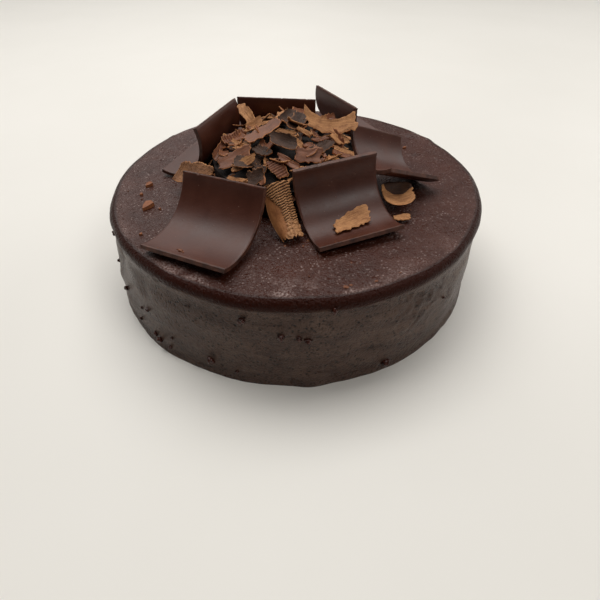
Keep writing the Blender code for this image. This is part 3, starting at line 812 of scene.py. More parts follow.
def sheet_finish():
    """Face of a bent square: smooth dark chocolate with a soft sheen, tiny pimples and faint drags."""
    f = Finish("dark_chocolate_face")
    drag = f.noise(f.scaled(f.flat, (2.0, 26.0, 1.0)), 1.0, 4.0, 0.6, 0.3)
    cloud = f.noise(f.place, 90.0, 4.0, 0.55)
    dust = f.noise(f.place, 1500.0, 2.0, 0.5)
    pimples = f.span(f.cells(f.place, 330.0), 0.085, 0.045)
    base = f.mix(f.span(cloud, 0.3, 0.7), colour(66, 29, 16), colour(81, 40, 25))
    base = f.mix(f.span(drag, 0.5, 0.85, 0.0, 0.2), base, colour(88, 54, 42))
    base = f.mix(f.product(pimples, 0.4), base, colour(142, 104, 84))
    roughness = f.span(f.blend(cloud, dust, 0.6), 0.35, 0.65, 0.36, 0.48)
    normal = f.relief((dust, 0.25, 0.0001), (pimples, 0.5, 0.00015), (drag, 0.07, 0.0002))
    return f.done(base, roughness, normal, 1.45)


def broken_finish():
    """Cut and broken edge of the dark chocolate: lighter, redder and grainy."""
    f = Finish("dark_chocolate_edge")
    grain = f.noise(f.place, 900.0, 4.0, 0.65)
    crumb = f.noise(f.place, 260.0, 3.0, 0.6)
    base = f.mix(f.span(crumb, 0.35, 0.7), colour(57, 30, 21), colour(99, 59, 43))
    return f.done(base, f.span(grain, 0.3, 0.7, 0.45, 0.65), f.relief((grain, 0.5, 0.0002)), 1.45)


def shaving_finish(name, dark, light, scrape, roughness, depth):
    """Scraped chocolate: fine lines along the shaving, pale dust in the high places, crumbly grain."""
    f = Finish(name)
    lines = f.noise(f.scaled(f.flat, (2.2, scrape, 1.0)), 1.0, 4.0, 0.65, 0.5)
    cloud = f.noise(f.place, 240.0, 4.0, 0.6)
    grain = f.noise(f.place, 1300.0, 4.0, 0.65)
    base = f.mix(f.span(f.blend(lines, cloud, 0.55), 0.36, 0.64), colour(*dark), colour(*light))
    base = f.mix(f.span(grain, 0.52, 0.72, 0.0, 0.35), base, colour(*light))
    return f.done(base, roughness, f.relief((grain, 0.45, 0.00022), (lines, 0.6, depth)), 1.4)


def floor_finish():
    """Plain pale floor, barely mottled."""
    f = Finish("pale_floor")
    cloud = f.noise(f.place, 9.0, 3.0, 0.5)
    base = f.mix(cloud, colour(232, 229, 222), colour(238, 235, 229))
    return f.done(base, 0.5, f.relief((f.noise(f.place, 400.0, 2.0, 0.5), 0.03, 0.0001)), 1.45)


GLAZE = glaze_finish("glaze", 1.37)
RIM = glaze_finish("glaze_rim", 1.18)
KNOB = knob_finish()
FACE = sheet_finish()
EDGE = broken_finish()
TAN = shaving_finish("tan_shaving", (126, 79, 45), (202, 146, 96), 26.0, 0.72, 0.0003)
TAN_EDGE = shaving_finish("tan_edge", (156, 98, 58), (214, 156, 104), 9.0, 0.75, 0.0002)
BROWN = shaving_finish("brown_shaving", (92, 50, 30), (134, 82, 52), 12.0, 0.50, 0.0001)
BROWN_EDGE = shaving_finish("brown_edge", (140, 84, 50), (196, 132, 84), 9.0, 0.7, 0.0002)
DARK = shaving_finish("dark_shaving", (32, 17, 10), (84, 53, 33), 30.0, 0.62, 0.0004)
# Near black finish of painted deep shade: on the heap's core, seen in the gaps between the shavings, and in
# the curl's grooves
CORE = shaving_finish("heap_core", (12, 6, 4), (34, 19, 12), 30.0, 0.8, 0.0005)
DARK_EDGE = shaving_finish("dark_edge", (124, 78, 48), (184, 126, 80), 9.0, 0.7, 0.0002)
CHIP = shaving_finish("chip", (112, 63, 36), (160, 99, 60), 20.0, 0.6, 0.0002)
CHIP_EDGE = shaving_finish("chip_edge", (128, 72, 42), (176, 112, 70), 9.0, 0.7, 0.0002)
FAN = shaving_finish("fan_shaving", (98, 62, 39), (158, 110, 72), 22.0, 0.7, 0.0003)
GOLDEN = shaving_finish("golden_shaving", (124, 76, 44), (184, 124, 78), 6.0, 0.42, 0.0001)
RIBS = shaving_finish("ribbed_shaving", (128, 82, 50), (212, 156, 106), 18.0, 0.6, 0.0003)
FINISHES = {
    "tan": (TAN, TAN_EDGE),
    "brown": (BROWN, BROWN_EDGE),
    "dark": (DARK, DARK_EDGE),
    "ribbed": (BROWN, TAN_EDGE),
    "lattice": (FAN, TAN_EDGE),
}


def side_radius(angle, height):
    """Radius of the glazed side, with its lumps, dents, foot lip and the undercut below the rim."""
    radius = BASE_RADIUS + (TOP_RADIUS - BASE_RADIUS) * (height / HEIGHT)
    spot = heading(angle) * (TOP_RADIUS / SWELL_SIZE) + Vector((0.0, 0.0, height / SWELL_SIZE))
    radius += SWELL * noise.noise(spot)
    radius += FOOT_LIP * math.exp(-(height / FOOT_LIP_HEIGHT) ** 2)
    radius -= UNDERCUT * math.exp(-((height - UNDERCUT_HEIGHT) / UNDERCUT_SPREAD) ** 2)
    for _, at, level, width, depth in SIDE_MARKS:
        away = math.hypot(arc_from(angle, math.radians(at)), height - level) / (width / 2.0)
        radius += depth * math.exp(-away * away)
    return radius


def scattered_marks(rng):
    """Small knobs and pits spread over the whole side, so that no side is bare."""
    marks = []
    for count, heights, widths, rises in (SCATTERED_KNOBS, SCATTERED_PITS):
        for _ in range(count):
            angle = rng.uniform(0.0, 360.0)
            marks.append((angle, rng.uniform(*heights), rng.uniform(*widths), rng.uniform(*rises)))
    first, last = PHOTO_SIDE
    return [mark for mark in marks if not first < mark[0] < last or abs(mark[3]) < FAINT_MARK]


def side_relief(angle, height, marks):
    """Fine relief of the side: ripples, smears, wrinkles, grain, knobs and pits."""
    ring = heading(angle) * TOP_RADIUS
    spot = ring + Vector((0.0, 0.0, height))
    relief = RIPPLE * noise.noise(spot / RIPPLE_SIZE)
    smear = ring / SMEAR_LENGTH + Vector((0.0, 0.0, height / SMEAR_HEIGHT))
    relief += SMEAR * noise.noise(smear + Vector((9.0, 2.0, 5.0)))
    relief += GRAIN * noise.noise(spot / GRAIN_SIZE)
    turn = arc_from(angle, math.radians(WRINKLE_ANGLE))
    above = height - WRINKLE_HEIGHT
    away = math.hypot(turn, above * WRINKLE_FLATNESS) / WRINKLE_SPREAD
    phase = above - WRINKLE_SLOPE * turn + WRINKLE_WARP * noise.noise(spot / WRINKLE_WARP_SIZE)
    relief += WRINKLE_DEPTH * math.exp(-away * away) * math.cos(math.tau * phase / WRINKLE_PITCH)
    for at, level, width, rise in marks:
        turn = arc_from(angle, at)
        if abs(turn) < 1.5 * width and abs(height - level) < 1.5 * width:
            away = math.hypot(turn, height - level) / (width / 2.0)
            if rise > 0.0:
                relief += KNOB_SWELL * rise * math.exp(-away * away / 2.0)
            else:
                lip = PIT_LIP * math.exp(-(away - PIT_LIP_REACH) ** 2 / 0.1)
                relief += rise * (math.exp(-away * away) - lip)
    near_foot = smooth_step(0.0, FOOT_FADE, height)
    foot_wave = FOOT_WAVE * drift(angle * TOP_RADIUS / FOOT_WAVE_SIZE, 4.0, 0.0)
    return relief * near_foot + (1.0 - near_foot) * foot_wave


def scattered_blisters(rng):
    """Small blisters spread over the top of the glaze, clear of its middle."""
    blisters = []
    for _ in range(SCATTERED_BLISTERS):
        angle = rng.uniform(0.0, math.tau)
        reach = rng.uniform(*BLISTER_REACHES)
        size = rng.uniform(*BLISTER_SIZES)
        blisters.append((reach * math.cos(angle), reach * math.sin(angle), size * 1.5, size,
                         rng.uniform(0.0, 180.0), rng.uniform(*BLISTER_RISES)))
    return blisters


def contact_lines():
    """The lowest line of each panel's underside: one end, and the way from there to the other."""
    lines = []
    for panel in PANELS:
        along = -panel.start / panel.bend
        ends = [panel.point(across, along, SHEET) for across in (0.0, 1.0)]
        lines.append((ends[0], ends[1] - ends[0]))
    return lines


def top_relief(x, y, blisters, contacts):
    """Height of the glaze's top above its flat level; it meets the panels that rest on it."""
    spot = Vector((x, y, 0.0))
    relief = TOP_WAVE * noise.noise(spot / TOP_WAVE_SIZE) + TOP_FINE * noise.noise(spot / TOP_FINE_SIZE)
    relief -= TOP_SINK
    for bx, by, length, width, yaw, rise in blisters:
        dx = x - RING_CENTRE[0] - bx
        dy = y - RING_CENTRE[1] - by
        if abs(dx) < length and abs(dy) < length:
            turn = math.radians(yaw)
            u = (dx * math.cos(turn) + dy * math.sin(turn)) / (length / 2.0)
            v = (dy * math.cos(turn) - dx * math.sin(turn)) / (width / 2.0)
            dip = 0.7 * math.exp(-(u * u + (v + 1.1) ** 2))
            relief += BLISTER_RISE * rise * (math.exp(-(u * u + v * v)) - dip)
    for origin, run in contacts:
        share = (spot - origin.to_2d().to_3d()).dot(run.to_2d().to_3d()) / run.to_2d().length_squared
        nearest = origin + run * min(1.0, max(0.0, share))
        gap = nearest.z - HEIGHT - CONTACT_GAP
        away = math.hypot(x - nearest.x, y - nearest.y)
        if gap < CONTACT_LIFT and away < CONTACT_REACH:
            hold = math.exp(-(away / CONTACT_SPREAD) ** 2) * smooth_step(CONTACT_LIFT, CONTACT_HOLD, gap)
            relief += (gap - relief) * hold
    return relief


def cake_middle(height):
    """Middle of the cake at a height: its top stands a little off its foot."""
    share = height / HEIGHT
    return [base + (top - base) * share for base, top in zip(BASE_CENTRE, TOP_CENTRE)]


def glaze_rings(marks, blisters):
    """Rings of points up the side, over the rounded rim and in to the middle of the top."""
    contacts = contact_lines()
    rim_start = HEIGHT - RIM_RADIUS
    angles = full_turn(GLAZE_STEPS_AROUND)
    rings = []
    for step in range(GLAZE_STEPS_UP):
        height = rim_start * (step / GLAZE_STEPS_UP) ** SIDE_SPACING
        ring = []
        for angle in angles:
            radius = side_radius(angle, height) + side_relief(angle, height, marks)
            ring.append(Vector((*on_circle(cake_middle(height), angle, radius), height)))
        rings.append(ring)
    waves = [RIM_WAVE * noise.noise(heading(angle) * (TOP_RADIUS / RIM_WAVE_SIZE)) for angle in angles]
    for step in range(GLAZE_STEPS_RIM + 1):
        lean = math.pi / 2.0 * step / GLAZE_STEPS_RIM
        height = rim_start + RIM_RADIUS * math.sin(lean)
        fade = 1.0 - step / GLAZE_STEPS_RIM
        ring = []
        for angle, wave in zip(angles, waves):
            inset = (RIM_RADIUS + wave) * (1.0 - math.cos(lean))
            radius = side_radius(angle, height) - inset + fade * side_relief(angle, height, marks)
            x, y = on_circle(cake_middle(height), angle, radius)
            lift = (1.0 - fade) * top_relief(x, y, blisters, contacts)
            ring.append(Vector((x, y, height + lift)))
        rings.append(ring)
    edge = rings[-1]
    for step in range(1, GLAZE_STEPS_IN):
        share = 1.0 - (step / GLAZE_STEPS_IN) ** TOP_SPACING
        ring = []
        for point in edge:
            x = TOP_CENTRE[0] + (point.x - TOP_CENTRE[0]) * share
            y = TOP_CENTRE[1] + (point.y - TOP_CENTRE[1]) * share
            ring.append(Vector((x, y, HEIGHT + top_relief(x, y, blisters, contacts))))
        rings.append(ring)
    return rings


def glaze_piece(rng):
    """The glazed cake in one skin, closed underneath, and the knobs that stand out of its side."""
    marks = [mark[1:] for mark in SMALL_MARKS] + scattered_marks(rng)
    marks = [(math.radians(at), level, width, rise) for at, level, width, rise in marks]
    rings = glaze_rings(marks, list(BLISTERS) + scattered_blisters(rng))
    points, faces = skin(rings, Vector((*BASE_CENTRE, 0.0)), Vector((*TOP_CENTRE, HEIGHT)))
    count = GLAZE_STEPS_AROUND
    uvs = [(step / count, level / len(rings)) for level in range(len(rings)) for step in range(count)]
    uvs += [(0.0, 0.0), (0.0, 1.0)]
    rim = range(GLAZE_STEPS_UP - 1, GLAZE_STEPS_UP + GLAZE_STEPS_RIM - 2)
    slots = [1 if index // count in rim else 0 for index in range(len(faces))]
    dressed("glazed_cake", [(points, faces, uvs, slots)], [GLAZE, RIM], ["cake"], sharp=70.0)

    knobs = []
    for angle, level, width, rise in marks:
        if rise > 0.0:
            radius = side_radius(angle, level) + side_relief(angle, level, marks) + KNOB_STAND * width
            spot = Vector((*on_circle(cake_middle(level), angle, radius), level))
            upright = Matrix.Rotation(angle, 4, "Z") @ Matrix.Rotation(math.pi / 2.0, 4, "Y")
            knobs.append(lump(rng, spot, KNOB_SIZE * width, KNOB_FLATNESS, upright, detail=3))
    dressed("glaze_knobs", knobs, [KNOB], ["cake"])


def panel_piece(panel, seed):
    """A bent square with rounded, slightly worn and nicked edges."""
    def wear(edge, share):
        worn = EDGE_WEAR * (0.5 + 0.5 * drift(share * 14.0, edge * 7.0, seed))
        nick = max(0.0, drift(share * 22.0, edge * 11.0, seed + 3.0) - 0.38) * EDGE_NICK
        return worn * 0.6 + nick + 0.08 * abs(drift(share * 70.0, edge * 5.0, seed))

    def worn_in(share, edges, run, length):
        low = wear(edges[0], run) / length
        high = wear(edges[1], run) / length
        return low + (1.0 - low - high) * share

    def place(u, v, side, at_edge):
        across = worn_in(v, (1, 2), u, panel.width)
        along = worn_in(u, (3, 4), v, panel.run)
        rounding = PANEL_ROUNDING if at_edge else 0.0
        point = panel.point(across, along, SHEET / 2.0 - side * (SHEET / 2.0 - rounding))
        warp = PANEL_WARP * drift(*(point / PANEL_WARP_SIZE)) * math.sin(math.pi * u)
        inward = panel.point(across, along, 0.0) - panel.point(across, along, 1.0)
        return point + inward * max(0.0, warp)

    steps = shares(PANEL_GRID, PANEL_RIM)
    sheet = grid_sheet(steps, steps, place)
    dressed(panel.name + "_dressed", [sheet], [FACE, EDGE], [panel.name])


def outline_pull(flake, along, side, seed):
    """How far a shaving's edge is pulled in at a place along it, as a share of the half width."""
    fine = abs(drift(along * 2.4, side * 3.0, seed)) * 0.45 + abs(drift(along * 17.0, side, seed)) * 0.12
    if flake.outline == "smooth":
        return fine * 0.2
    if flake.outline == "torn" and side > 0:
        return 0.45 * smooth_step(0.5, -0.9, along) + fine * 0.6
    if flake.outline == "fan" and side < 0:
        return 0.35 * along * along + fine * 0.3
    return fine


def surface_lift(flake, reach, spread, side, seed):
    """Fine relief of a shaving's face: ribs, crossed scrape lines, or plain ones along it."""
    if flake.kind == "ribbed":
        return RIB_RISE * math.cos(math.pi * reach * flake.length / RIB_PITCH) if side > 0 else 0.0
    if flake.kind == "lattice":
        ridges = math.cos(2.0 * math.pi * (reach * 9.0 + spread * 3.0))
        ridges += math.cos(2.0 * math.pi * (reach * 9.0 - spread * 4.0))
        return 0.18 * ridges
    return 0.16 * drift(reach * 2.0, spread * 9.0, seed)


def hi_flake(flake, seed, steps):
    """A shaving with torn edges, scrape ridges and a slight buckle, inside the part's plain one."""
    smooth = flake.outline == "smooth"
    thickness = FLAKE_THICKNESS * (0.8 if smooth else 0.6)
    skew = 0.0 if smooth else END_SKEW * drift(seed * 1.7, 3.1, 0.4)

    def place(u, v, side, at_edge):
        along = 2.0 * u - 1.0
        across = 2.0 * v - 1.0
        end_pull = abs(drift(across * 1.6, 2.0 + (along > 0), seed)) * 0.30
        end_pull += abs(drift(across * 13.0, 6.0 + (along > 0), seed)) * 0.07
        reach = along * (1.0 - end_pull * abs(along)) + skew * across * abs(along)
        reach = min(1.0, max(-1.0, reach))
        spread = across * (1.0 - outline_pull(flake, along, 1 if across > 0 else -1, seed))
        lift = side * thickness / 2.0 * (0.25 if at_edge else 1.0)
        lift += surface_lift(flake, reach, spread, side, seed) * (0.3 if at_edge else 1.0)
        lift += 0.35 * drift(reach * 1.4, spread * 1.2, seed + 5.0)
        return flake.point(reach, spread, lift)

    return grid_sheet(shares(steps[0], 0.02), shares(steps[1], 0.035), place)


def clear_of_panels(points, clearance):
    """True where every point keeps the clearance to the faces of every panel."""
    reach = SHEET / 2.0 + clearance
    return all(panel.distance(point) > reach for panel in PANELS for point in points)


def clear_of_loose(points, loose_points):
    """True where no point comes near a point of the shavings that lie on their own."""
    return all((point - other).length > LOOSE_CLEARANCE for point in points for other in loose_points)


def plain_points(flake):
    """The part's own few points of a shaving."""
    columns, rows = flake.steps
    places = [(side, i, j) for side in (1, -1) for i in range(columns + 1) for j in range(rows + 1)]
    return [flake.point(2.0 * i / columns - 1.0, 2.0 * j / rows - 1.0, side * FLAKE_THICKNESS / 2.0)
            for side, i, j in places]


def has_room(flake, loose_points):
    """True where a shaving is clear of the glaze, of every panel and of the loose shavings."""
    points = plain_points(flake)
    above_glaze = min(point.z for point in points) > HEIGHT + REST_GAP
    return above_glaze and clear_of_panels(points, FLAKE_CLEARANCE) and clear_of_loose(points, loose_points)


def heap_height(x, y):
    """Height of the bare heap above the glaze."""
    away = math.hypot(x - HEAP_CENTRE[0], y - HEAP_CENTRE[1]) / HEAP_REACH
    return HEAP_EDGE_HEIGHT + HEAP_CROWN * max(0.0, 1.0 - away * away)


def fits(flake, loose_points):
    """Shrinks a shaving by small steps until it has room; False where it never has."""
    for _ in range(FIT_TRIES):
        if has_room(flake, loose_points):
            return True
        flake.length *= FIT_SHRINK
        flake.width *= FIT_SHRINK
    return False


def heap_reach(angle, up):
    """How far the heap's core runs from its middle at a height, before it comes near a panel."""
    reach = CORE_PROBE_START
    while reach < HEAP_REACH:
        spot = above_ring(*on_circle(HEAP_CENTRE, angle, reach), up)
        if not clear_of_panels([spot], CORE_CLEARANCE):
            break
        reach += CORE_PROBE_STEP
    return reach - CORE_PROBE_STEP


def filler_flakes(rng):
    """Shavings of mixed size strewn over the heap by a rule, on a spiral that spreads them evenly."""
    golden_turn = math.pi * (3.0 - math.sqrt(5.0))
    kinds = ("tan", "brown", "dark", "tan", "brown", "ribbed")
    flakes = []
    for index in range(FILLER_COUNT):
        share = math.sqrt((index + 0.5) / FILLER_COUNT)
        angle = index * golden_turn
        x, y = on_circle(HEAP_CENTRE, angle, share * FILLER_REACH * heap_reach(angle, HEAP_EDGE_HEIGHT))
        length = rng.uniform(*FILLER_LENGTHS)
        place = laid(
            x, y, heap_height(x, y) + rng.uniform(*FILLER_LIFTS), rng.uniform(0.0, 360.0),
            rng.uniform(-FILLER_RISE, FILLER_RISE), rng.uniform(-FILLER_TILT, FILLER_TILT),
        )
        flakes.append(Flake(
            "filler", place, length, length * rng.uniform(*FILLER_WIDTH_SHARES),
            curl_long=rng.uniform(*FILLER_CURLS_LONG), curl_cross=rng.uniform(*FILLER_CURLS_CROSS),
            kind=kinds[index % len(kinds)], steps=(3, 2),
        ))
    return flakes


def small_bits(rng, reaches):
    """Small shavings, by turns down the sides of the heap and over its crown."""
    kinds = ("brown", "dark", "dark", "brown", "dark", "tan")
    bits = []
    for index in range(BIT_COUNT):
        step = rng.randrange(len(reaches))
        angle = math.tau * step / len(reaches)
        on_wall = index % 2 == 0
        share = BIT_WALL_SHARE if on_wall else math.sqrt(rng.uniform(0.0, 1.0))
        x, y = on_circle(HEAP_CENTRE, angle, share * reaches[step])
        if on_wall:
            up = rng.uniform(1.0, HEAP_EDGE_HEIGHT)
            lean = rng.uniform(*BIT_WALL_LEANS)
            yaw = math.degrees(angle) + 90.0 + rng.uniform(-BIT_TURN, BIT_TURN)
        else:
            up = heap_height(x, y) + rng.uniform(*BIT_LIFTS)
            lean = rng.uniform(-BIT_TURN, BIT_TURN)
            yaw = rng.uniform(0.0, 360.0)
        length = rng.uniform(*BIT_LENGTHS)
        place = laid(x, y, up, yaw, rng.uniform(-BIT_SLOPE, BIT_SLOPE), lean)
        bit = Flake("bit", place, length, length * rng.uniform(*BIT_WIDTH_SHARES),
                    curl_long=rng.uniform(*BIT_CURLS_LONG), curl_cross=rng.uniform(*BIT_CURLS_CROSS),
                    kind=kinds[index % len(kinds)])
        points = plain_points(bit)
        if min(point.z for point in points) > HEIGHT + BIT_GAP and clear_of_panels(points, BIT_CLEARANCE):
            bits.append(bit)
    return bits


def core_piece(levels, reaches):
    """The rough mound under the shavings, painted near black as deep shade in the gaps between them."""
    angles = full_turn(len(reaches))
    rings = []
    for up in levels:
        ring = []
        for angle, reach in zip(angles, reaches):
            rough = 0.5 * drift(reach * math.cos(angle) / 3.0, reach * math.sin(angle) / 3.0, up / 3.0)
            ring.append(above_ring(*on_circle(HEAP_CENTRE, angle, reach + rough - CORE_SHY), up))
        rings.append(ring)
    for share in CORE_RINGS:
        ring = []
        for angle, reach in zip(angles, reaches):
            x, y = on_circle(HEAP_CENTRE, angle, share * reach)
            rough = 0.9 * drift(x / 2.6, y / 2.6, 7.0) + 0.5 * drift(x / 1.1, y / 1.1, 3.0)
            ring.append(above_ring(x, y, heap_height(x, y) + rough - CORE_SINK))
        rings.append(ring)
    points, faces = skin(rings, above_ring(*HEAP_CENTRE, REST_GAP),
                         above_ring(*HEAP_CENTRE, HEAP_EDGE_HEIGHT + HEAP_CROWN - CORE_SINK))
    uvs = [(point.x / 30.0, point.z / 30.0) for point in points]
    mound = (points, faces, uvs, [0] * len(faces))
    dressed("heap_core", [mound], [CORE], ["shavings"])


def heap_pieces(chip_rng):
    """The heap: a rough mound painted dark as deep shade, and the shavings on it gathered by kind."""
    names = [flake.name for flake in LOOSE_FLAKES] + ["ribbed_curl"]
    loose_points = [vertex.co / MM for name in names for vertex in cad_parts[name].data.vertices]
    levels = [REST_GAP + share * (HEAP_EDGE_HEIGHT - REST_GAP) for share in CORE_LEVELS]
    reaches = [min(heap_reach(angle, up) for up in levels) for angle in full_turn(HEAP_STEPS)]
    core_piece(levels, reaches)

    sheets = {kind: [] for kind in ("tan", "brown", "dark", "ribbed")}
    for seed, flake in enumerate(HEAP_FLAKES + tuple(filler_flakes(chip_rng))):
        if fits(flake, loose_points):
            steps = RIBBED_GRID if flake.kind == "ribbed" else SHAVING_GRID
            sheets[flake.kind].append(hi_flake(flake, seed + 0.37, steps))
    for seed, bit in enumerate(small_bits(random.Random(SEED + 1), reaches)):
        sheets[bit.kind].append(hi_flake(bit, seed + 80.21, BIT_GRID))
    for kind, of_kind in sheets.items():
        dressed("shavings_" + kind, of_kind, FINISHES[kind], ["shavings"])


def loose_pieces():
    """The larger shavings beside the heap; the scooped one has painted shadow in its hollow."""
    for seed, flake in enumerate(LOOSE_FLAKES):
        points, faces, uvs, slots = hi_flake(flake, seed + 40.73, LOOSE_GRID)
        # Faces in the upper hollow get the dark shaving finish as painted shadow, cast by the panel above
        # it
        if flake.name == "scooped_flake":
            for index, face in enumerate(faces):
                u, v = middle_uv(face, uvs)
                if math.hypot(2.0 * u - SHADE_PATCH_AT[0], SHADE_PATCH_SQUEEZE * (v - SHADE_PATCH_AT[1])) < SHADE_PATCH_REACH:
                    slots[index] = 2
        dressed(flake.name + "_dressed", [(points, faces, uvs, slots)],
                FINISHES[flake.kind] + (DARK,), [flake.name])


def rib_phase(down, across):
    """How many ribs lie above a place on the curl; they slant and wander a little."""
    return (down + CURL_RIB_SLANT * across) * CURL_RIBS + 0.18 * drift(across * 6.0, down * 5.0, 8.0)


def smooth_border(down):
    """Share of the curl's width that is smooth, at a place down its length."""
    share = 0.04 + CURL_SMOOTH_SHARE * smooth_step(0.05, 0.5, down) - 0.22 * smooth_step(0.75, 1.0, down)
    return share + 0.05 * drift(down * 12.0, 3.0, 1.0) + 0.03 * drift(down * 40.0, 5.0, 1.0)


def ribbed_curl_piece():
    """The curl between the front panels: smooth on its left, closely ribbed on its right, torn below."""
    top = above_ring(*CURL_TOP)
    foot = above_ring(*CURL_FOOT)
    along = (foot - top).normalized()
    side_way = heading(math.radians(CURL_YAW))
    side_way = (side_way - along * side_way.dot(along)).normalized()
    out = along.cross(side_way)
    turn = math.radians(CURL_TURN)

    def place(u, v, side, at_edge):
        bend_radius = (CURL_TOP_WIDTH + (CURL_FOOT_WIDTH - CURL_TOP_WIDTH) * u) / turn
        ragged = u * (1.0 - 0.10 * abs(drift(v * 7.0, 1.0, 4.0)))
        share = min(1.0, max(0.0, ragged + 0.05 * drift(v * 9.0, u * 3.0, 2.0) * 0.3))
        arch = math.sin(math.pi * share)
        middle = top + (foot - top) * share - out * CURL_SAG * arch
        middle = middle - side_way * CURL_BULGE * arch * (1.0 - v) ** 2
        radius = bend_radius + side * CURL_THICKNESS / 2.0 * (0.4 if at_edge else 0.9)
        if side > 0 and not at_edge:
            border = smooth_border(u)
            ribbed = smooth_step(border - 0.01, border + 0.03, v)
            torn = smooth_step(CURL_TORN_SHARE - 0.06, CURL_TORN_SHARE + 0.04, u)
            rib = CURL_RIB_DEPTH * (abs(math.sin(math.pi * rib_phase(u, v))) - 0.5)
            rough = 0.55 * drift(u * 26.0, v * 13.0, 9.0)
            radius += ribbed * ((1.0 - torn) * rib + torn * rough) - 0.35 * (1.0 - ribbed)
        angle = turn * (v - 0.5)
        rise = radius * math.cos(angle) - bend_radius
        return middle + side_way * radius * math.sin(angle) + out * rise

    points, faces, uvs, slots = grid_sheet(shares(CURL_ROWS, 0.006), shares(CURL_COLUMNS, 0.02), place)
    for index, face in enumerate(faces):
        down, across = middle_uv(face, uvs)
        # Faces in the grooves between the ribs get the near black finish as painted shade
        in_shaded_groove = abs(math.sin(math.pi * rib_phase(down, across))) < CURL_GAP_SHARE
        if slots[index] == 0 and across < smooth_border(down):
            slots[index] = 2
        elif slots[index] == 0 and down < CURL_TORN_SHARE and in_shaded_groove:
            slots[index] = 3
    dressed("ribbed_curl_dressed", [(points, faces, uvs, slots)], [RIBS, TAN_EDGE, GOLDEN, CORE],
            ["ribbed_curl"])


def lump(rng, middle, size, flatness, matrix=None, detail=2):
    """Points and faces of a small irregular lump of chocolate."""
    work = bmesh.new()
    bmesh.ops.create_icosphere(work, subdivisions=detail, radius=1.0)
    seed = rng.uniform(0.0, 50.0)
    turn = Matrix.Rotation(rng.uniform(0.0, 6.28), 4, "Z")
    points = []
    for vertex in work.verts:
        x, y, z = vertex.co
        rough = 1.0 + 0.45 * noise.noise(vertex.co * 1.1 + Vector((seed, 0.0, 0.0)))
        rough += 0.12 * noise.noise(vertex.co * 4.0 + Vector((seed, 3.0, 0.0)))
        local = turn @ (Vector((x * size, y * size * LUMP_WIDTH, z * size * flatness)) * rough)
        points.append(middle + (matrix.to_3x3() @ local if matrix else local))
    work.verts.ensure_lookup_table()
    faces = [tuple(vertex.index for vertex in face.verts) for face in work.faces]
    work.free()
    uvs = [(point.x / 8.0, point.y / 8.0) for point in points]
    return points, faces, uvs, [0] * len(faces)


def chip_outline(chip_rng, number):
    """Points round a chip with straight edges, as shares of its half length and half width."""
    # As in the part, two rings of corners are drawn for each chip; this is the second
    draws = [chip_rng.uniform(0.8, 1.1) for _ in range(2 * CHIP_CORNERS)]
    corners = []
    for corner, draw in enumerate(draws[CHIP_CORNERS:]):
        reach = 0.8 * draw * (1.15 if corner % 2 else 0.85)
        corners.append(heading(math.tau * corner / CHIP_CORNERS) * reach)
    outline = []
    for step in range(CHIP_CORNERS * CHIP_EDGE_STEPS):
        corner, share = divmod(step, CHIP_EDGE_STEPS)
        ends = corners[corner], corners[(corner + 1) % CHIP_CORNERS]
        spot = ends[0].lerp(ends[1], share / CHIP_EDGE_STEPS)
        outline.append(spot * (1.0 + 0.10 * drift(step * 0.9, number, 2.0)))
    return outline


def chip_pieces(chip_rng):
    """The chips that stick to the glaze: flat broken pieces with straight edges and sloping tops."""
    chips = []
    for number, (_, x, y, length, width, thickness, yaw) in enumerate(CHIPS):
        outline = chip_outline(chip_rng, number)
        matrix = Matrix.Translation(above_ring(x, y, 0.0)) @ Matrix.Rotation(math.radians(yaw), 4, "Z")

        def place(spot, share, top):
            rough = 0.10 * drift(spot.x * 4.0, spot.y * 4.0, number)
            level = thickness * (0.86 + 0.22 * spot.x * share + rough)
            level *= 0.72 if share > 0.99 else 1.0
            return matrix @ Vector((length / 2.0 * spot.x * share, width / 2.0 * spot.y * share,
                                    level if top else -CHIP_SINK))

        rings = [[place(spot, share, True) for spot in outline] for share in CHIP_RINGS]
        rings.append([place(spot, 1.0, False) for spot in outline])
        points, faces = skin(rings, place(Vector(), 0.0, True), place(Vector(), 0.0, False))
        lowest = (len(CHIP_RINGS) - 1) * len(outline)
        slots = [1 if len(face) == 4 and face[0] >= lowest else 0 for face in faces]
        chips.append((points, faces, [(point.x / 6.0, point.y / 6.0) for point in points], slots))
    dressed("chips", chips, [CHIP, CHIP_EDGE], ["cake"], sharp=25.0)


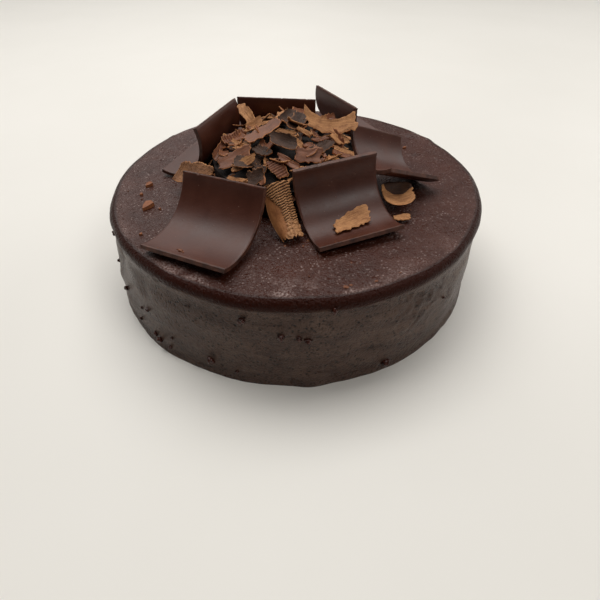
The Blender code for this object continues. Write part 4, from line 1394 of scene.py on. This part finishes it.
def crumb_piece(rng):
    """Crumbs on the glaze round the heap and on the front panels."""
    crumbs = []
    for _ in range(CRUMB_COUNT):
        angle = rng.uniform(0.0, math.tau)
        reach = rng.uniform(*CRUMB_REACHES)
        size = rng.uniform(*CRUMB_SIZES)
        spot = above_ring(*on_circle((0.0, 0.0), angle, reach), size * 0.3)
        crumbs.append(lump(rng, spot, size, 0.7, detail=1))
    for number, across, along, size in PANEL_CRUMBS:
        panel = PANELS[number]
        middle = panel.point(across, along, -size * 0.25)
        crumbs.append(lump(rng, middle, size, 0.5, on_panel(panel, across, along, 0.0)))
    for x, y, size in CRUMB_SPOTS:
        crumbs.append(lump(rng, above_ring(x, y, 0.0), size, 0.3))
    dressed("crumbs", crumbs, [BROWN], ["shavings"])


def floor_piece():
    mesh = bpy.data.meshes.new("floor")
    corners = [(-FLOOR_HALF, -FLOOR_HALF, 0.0), (FLOOR_HALF, -FLOOR_HALF, 0.0),
               (FLOOR_HALF, FLOOR_HALF, 0.0), (-FLOOR_HALF, FLOOR_HALF, 0.0)]
    mesh.from_pydata(corners, [], [(0, 1, 2, 3)])
    mesh.materials.append(floor_finish())
    floor = placed("floor", mesh)


def studio():
    """A dim warm room with the soft lights of LIGHTS."""
    world = bpy.data.worlds.new("studio")
    world.use_nodes = True
    backdrop = world.node_tree.nodes["Background"]
    backdrop.inputs["Color"].default_value = ROOM_TINT
    backdrop.inputs["Strength"].default_value = ROOM_STRENGTH
    bpy.context.scene.world = world
    for name, place, target, width, depth, watts in LIGHTS:
        light = bpy.data.lights.new(name, "AREA")
        light.shape = "RECTANGLE"
        light.size = width
        light.size_y = depth
        light.energy = watts
        light.color = LIGHT_TINT
        lamp = placed(name, light)
        lamp.location = place
        lamp.rotation_euler = (Vector(target) - Vector(place)).to_track_quat("-Z", "Y").to_euler()


def photo_camera():
    camera = bpy.data.cameras.new("camera")
    camera.lens = LENS
    camera.sensor_width = SENSOR
    camera.clip_start = 0.01
    holder = placed("camera", camera)
    tilt = Matrix.Rotation(math.radians(90.0 - CAMERA_PITCH), 4, "X")
    roll = Matrix.Rotation(CAMERA_ROLL, 4, "Z")
    holder.matrix_world = Matrix.Translation(Vector(CAMERA_AT) * MM) @ tilt @ roll
    bpy.context.scene.camera = holder


def dress():
    bpy.context.scene.view_settings.view_transform = "Standard"
    photo_camera()
    floor_piece()
    studio()
    glaze_piece(random.Random(SEED + 2))
    for number, panel in enumerate(PANELS):
        panel_piece(panel, number * 3.1 + 0.7)
    chip_rng = random.Random(SEED)
    chip_pieces(chip_rng)
    heap_pieces(chip_rng)
    loose_pieces()
    ribbed_curl_piece()
    crumb_piece(random.Random(SEED + 3))


dress()
